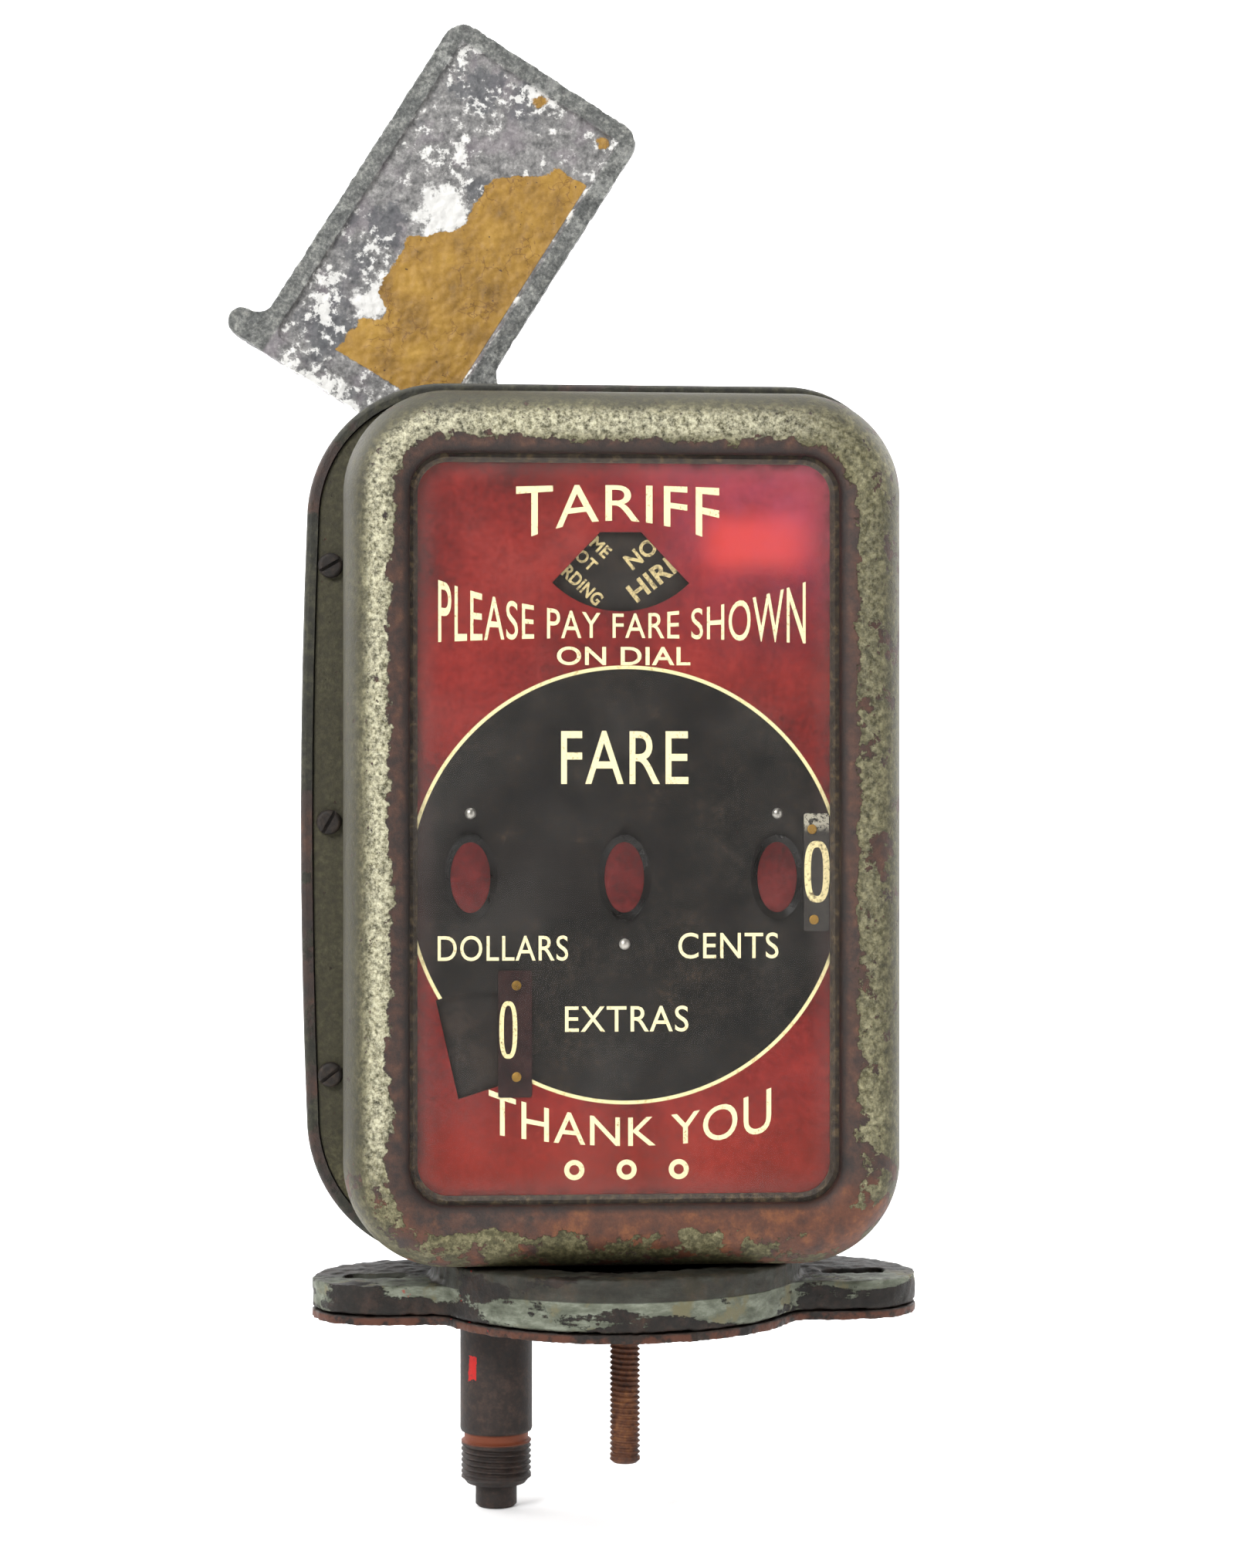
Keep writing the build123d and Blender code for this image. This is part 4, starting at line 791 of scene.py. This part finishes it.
def make_dial_print():
    def word(name, text, left, right, low, high, shape=None, bold=0.002):
        lettering(name, text, left, right, low, high, dial_front, "case", CREAM, bold, shape)

    word("word_tariff", "TARIFF", -28.0, 24.5, 203.5, 218.5, arch(209.3, 203.5, 218.5, 218.0))
    word("word_fare", "FARE", -16.4, 16.5, 141.4, 155.1)
    word("word_dollars", "DOLLARS", -48.1, -14.6, 95.9, 102.4)
    word("word_cents", "CENTS", 13.9, 39.9, 96.3, 103.0)
    word("word_extras", "EXTRAS", -15.4, 16.5, 77.5, 84.2)
    word("notice_upper", "PLEASE PAY FARE SHOWN", -48.0, 47.0, 177.4, 194.0, arch(179.0, 177.6, 185.4, 194.0))
    word("notice_lower", "ON DIAL", -17.5, 17.0, 172.0, 176.8, None, 0.014)
    word("thanks_upper", "THANK YOU", -35.0, 38.0, 47.0, 61.0, arch(48.0, 51.5, 55.5, 63.0))
    ornament = [(x, 42.0) for x in (-13.0, 0.5, 14.0)]
    for index, (x, z) in enumerate(ornament):
        points, faces = slab_ring(zero_outline(x, z, 2.6, 2.6, 48, 2), zero_outline(x, z, 1.3, 1.3, 48, 2),
                                  dial_front - print_thick, dial_front)
        add_piece(f"ornament_{index}", points, faces, "case", CREAM)


def make_zero(name, cx, cz, half_width, half_height, stroke, finish):
    points, faces = slab_ring(
        zero_outline(cx, cz, half_width, half_height),
        zero_outline(cx, cz, half_width - stroke, half_height - stroke),
        label_front - print_thick, label_front,
    )
    add_piece(name, points, faces, "case", finish)


# ======================= tariff and extras discs =======================
def on_disc(name, words, cx, cz, angle, reach, width, height, body):
    """A word on a disc, reading across the radius that points down, then turned by angle degrees."""
    points, faces = lettering(name, words, -width / 2, width / 2, -reach - height / 2, -reach + height / 2,
                              disc_front, None, None, 0.028)
    a = math.radians(angle)
    c, s = math.cos(a), math.sin(a)
    turned = [(cx + x * c - z * s, y, cz + x * s + z * c) for x, y, z in points]
    add_piece(name, turned, faces, body, DISC_CREAM)


def make_disc_words():
    left, right = -43.0, 38.0
    on_disc("tariff_time", "TIME", tariff_x, tariff_z, left, 9.6, 9.5, 3.3, "tariff")
    on_disc("tariff_not_left", "NOT", tariff_x, tariff_z, left, 14.6, 9.0, 3.3, "tariff")
    on_disc("tariff_recording", "RECORDING", tariff_x, tariff_z, left, 20.0, 23.0, 3.6, "tariff")
    on_disc("tariff_not_right", "NOT", tariff_x, tariff_z, right, 11.2, 12.5, 4.4, "tariff")
    on_disc("tariff_hired", "HIRED", tariff_x, tariff_z, right, 18.2, 21.0, 5.0, "tariff")
    on_disc("tariff_hired_dot", "TARIFF 1", tariff_x, tariff_z, 135.0, 16.0, 22.0, 4.4, "tariff")
    on_disc("tariff_two", "TARIFF 2", tariff_x, tariff_z, 222.0, 16.0, 22.0, 4.4, "tariff")
    first, between = -61.0, 23.0    # degrees; these leave the window blank in the stored position
    for k in range(1, 10):
        on_disc(f"extras_figure_{k}", str(k), extras_x, extras_z,
                first + between * (k - 1), 36.0, 7.5, 13.0, "extras")


def make_drum_figures():
    """Figures 0 to 9 round each drum; 0 faces the window."""
    for body, x in (("dollars", -oval_x), ("dimes", 0.0), ("cents", oval_x)):
        for k in range(10):
            points, faces = lettering(f"{body}_figure_{k}", str(k), -2.6, 2.6, -4.4, 4.4,
                                      0.0, None, None, 0.02)
            bent = []
            for px, py, pz in points:
                r = drum_radius + 0.01 - py
                a = pz / drum_radius - math.radians(36 * k)
                bent.append((x + px, drum_y - r * math.cos(a), drum_z + r * math.sin(a)))
            add_piece(f"{body}_figure_{k}", bent, faces, body, CREAM_DARK)


# ======================= stage =======================
def make_stage():
    """A pale floor that curves up into a plain wall behind."""
    low = cad_low.z / MM - 0.1
    half, front, back, height, bend = 1600.0, -1500.0, 900.0, 1500.0, 350.0
    line = [(front, low), (back - bend, low)]
    steps = 16
    for k in range(1, steps):
        a = math.pi / 2 * k / steps
        line.append((back - bend + bend * math.sin(a), low + bend - bend * math.cos(a)))
    line += [(back, low + bend), (back, low + height)]
    mesh = bpy.data.meshes.new("floor")
    points = [(s * half * MM, y * MM, z * MM) for y, z in line for s in (-1, 1)]
    faces = [(2 * k, 2 * k + 1, 2 * k + 3, 2 * k + 2) for k in range(len(line) - 1)]
    mesh.from_pydata(points, [], faces)
    mesh.polygons.foreach_set("use_smooth", [True] * len(mesh.polygons))
    mesh.materials.append(FLOOR)
    floor = bpy.data.objects.new("floor", mesh)
    bpy.context.scene.collection.objects.link(floor)


def add_light(name, place, target, width, height, power, tint=(1, 1, 1)):
    data = bpy.data.lights.new(name, "AREA")
    data.shape = "RECTANGLE"
    data.size, data.size_y = width, height
    data.energy = power
    data.color = tint
    light = bpy.data.objects.new(name, data)
    light.location = place
    light.rotation_euler = (Vector(target) - Vector(place)).to_track_quat("-Z", "Y").to_euler()
    bpy.context.scene.collection.objects.link(light)


def make_lights():
    middle = (0, 0, 0.14)
    add_light("key", (-0.7, -1.0, 0.85), middle, 0.45, 0.45, 18)
    add_light("top", (0.0, 0.05, 1.15), middle, 0.9, 0.5, 9)
    add_light("fill", (0.95, -0.8, 0.35), middle, 0.6, 0.9, 4)
    add_light("wall_left", (-0.9, 0.45, 0.7), (0, 0.9, 0.3), 0.8, 0.8, 14)
    add_light("wall_right", (0.9, 0.45, 0.7), (0, 0.9, 0.3), 0.8, 0.8, 14)
    world = bpy.data.worlds.new("studio")
    world.use_nodes = True
    world.node_tree.nodes["Background"].inputs["Color"].default_value = (1, 1, 1, 1)
    world.node_tree.nodes["Background"].inputs["Strength"].default_value = 0.24
    bpy.context.scene.world = world


def make_camera():
    data = bpy.data.cameras.new("camera")
    data.sensor_width = 36.0
    data.lens = 69.2
    data.shift_y = 0.0013
    data.clip_start, data.clip_end = 0.05, 20
    camera = bpy.data.objects.new("camera", data)
    camera.location = (-0.0593, -0.8069, 0.1387)
    camera.rotation_euler = (math.radians(90.16), 0, math.radians(-4.24))
    bpy.context.scene.collection.objects.link(camera)
    bpy.context.scene.camera = camera


make_stud()
make_coupling()
cast_copy("flag", "flag_casting", "flag_arm", FLAG_METAL, 0.55, 4, 0.35, 2.2, 5)
cast_copy("base_casting", "foot_casting", "case", FOOT, 0.8, 3, 0.4, 3.5, 9)
cast_copy("base_plate", "foot_plate", "case", FOOT, 0.6, 1, 0.28, 2.6, 11)
make_dial_print()
make_zero("cents_zero", 49.9, 118.7, 3.3, 8.0, 1.7, CREAM_DARK)
make_zero("extras_zero", -30.0, 78.2, 2.3, 7.4, 1.15, CREAM_DARK)
make_disc_words()
make_drum_figures()
make_stage()
make_lights()
make_camera()
bpy.context.scene.view_settings.view_transform = "Standard"
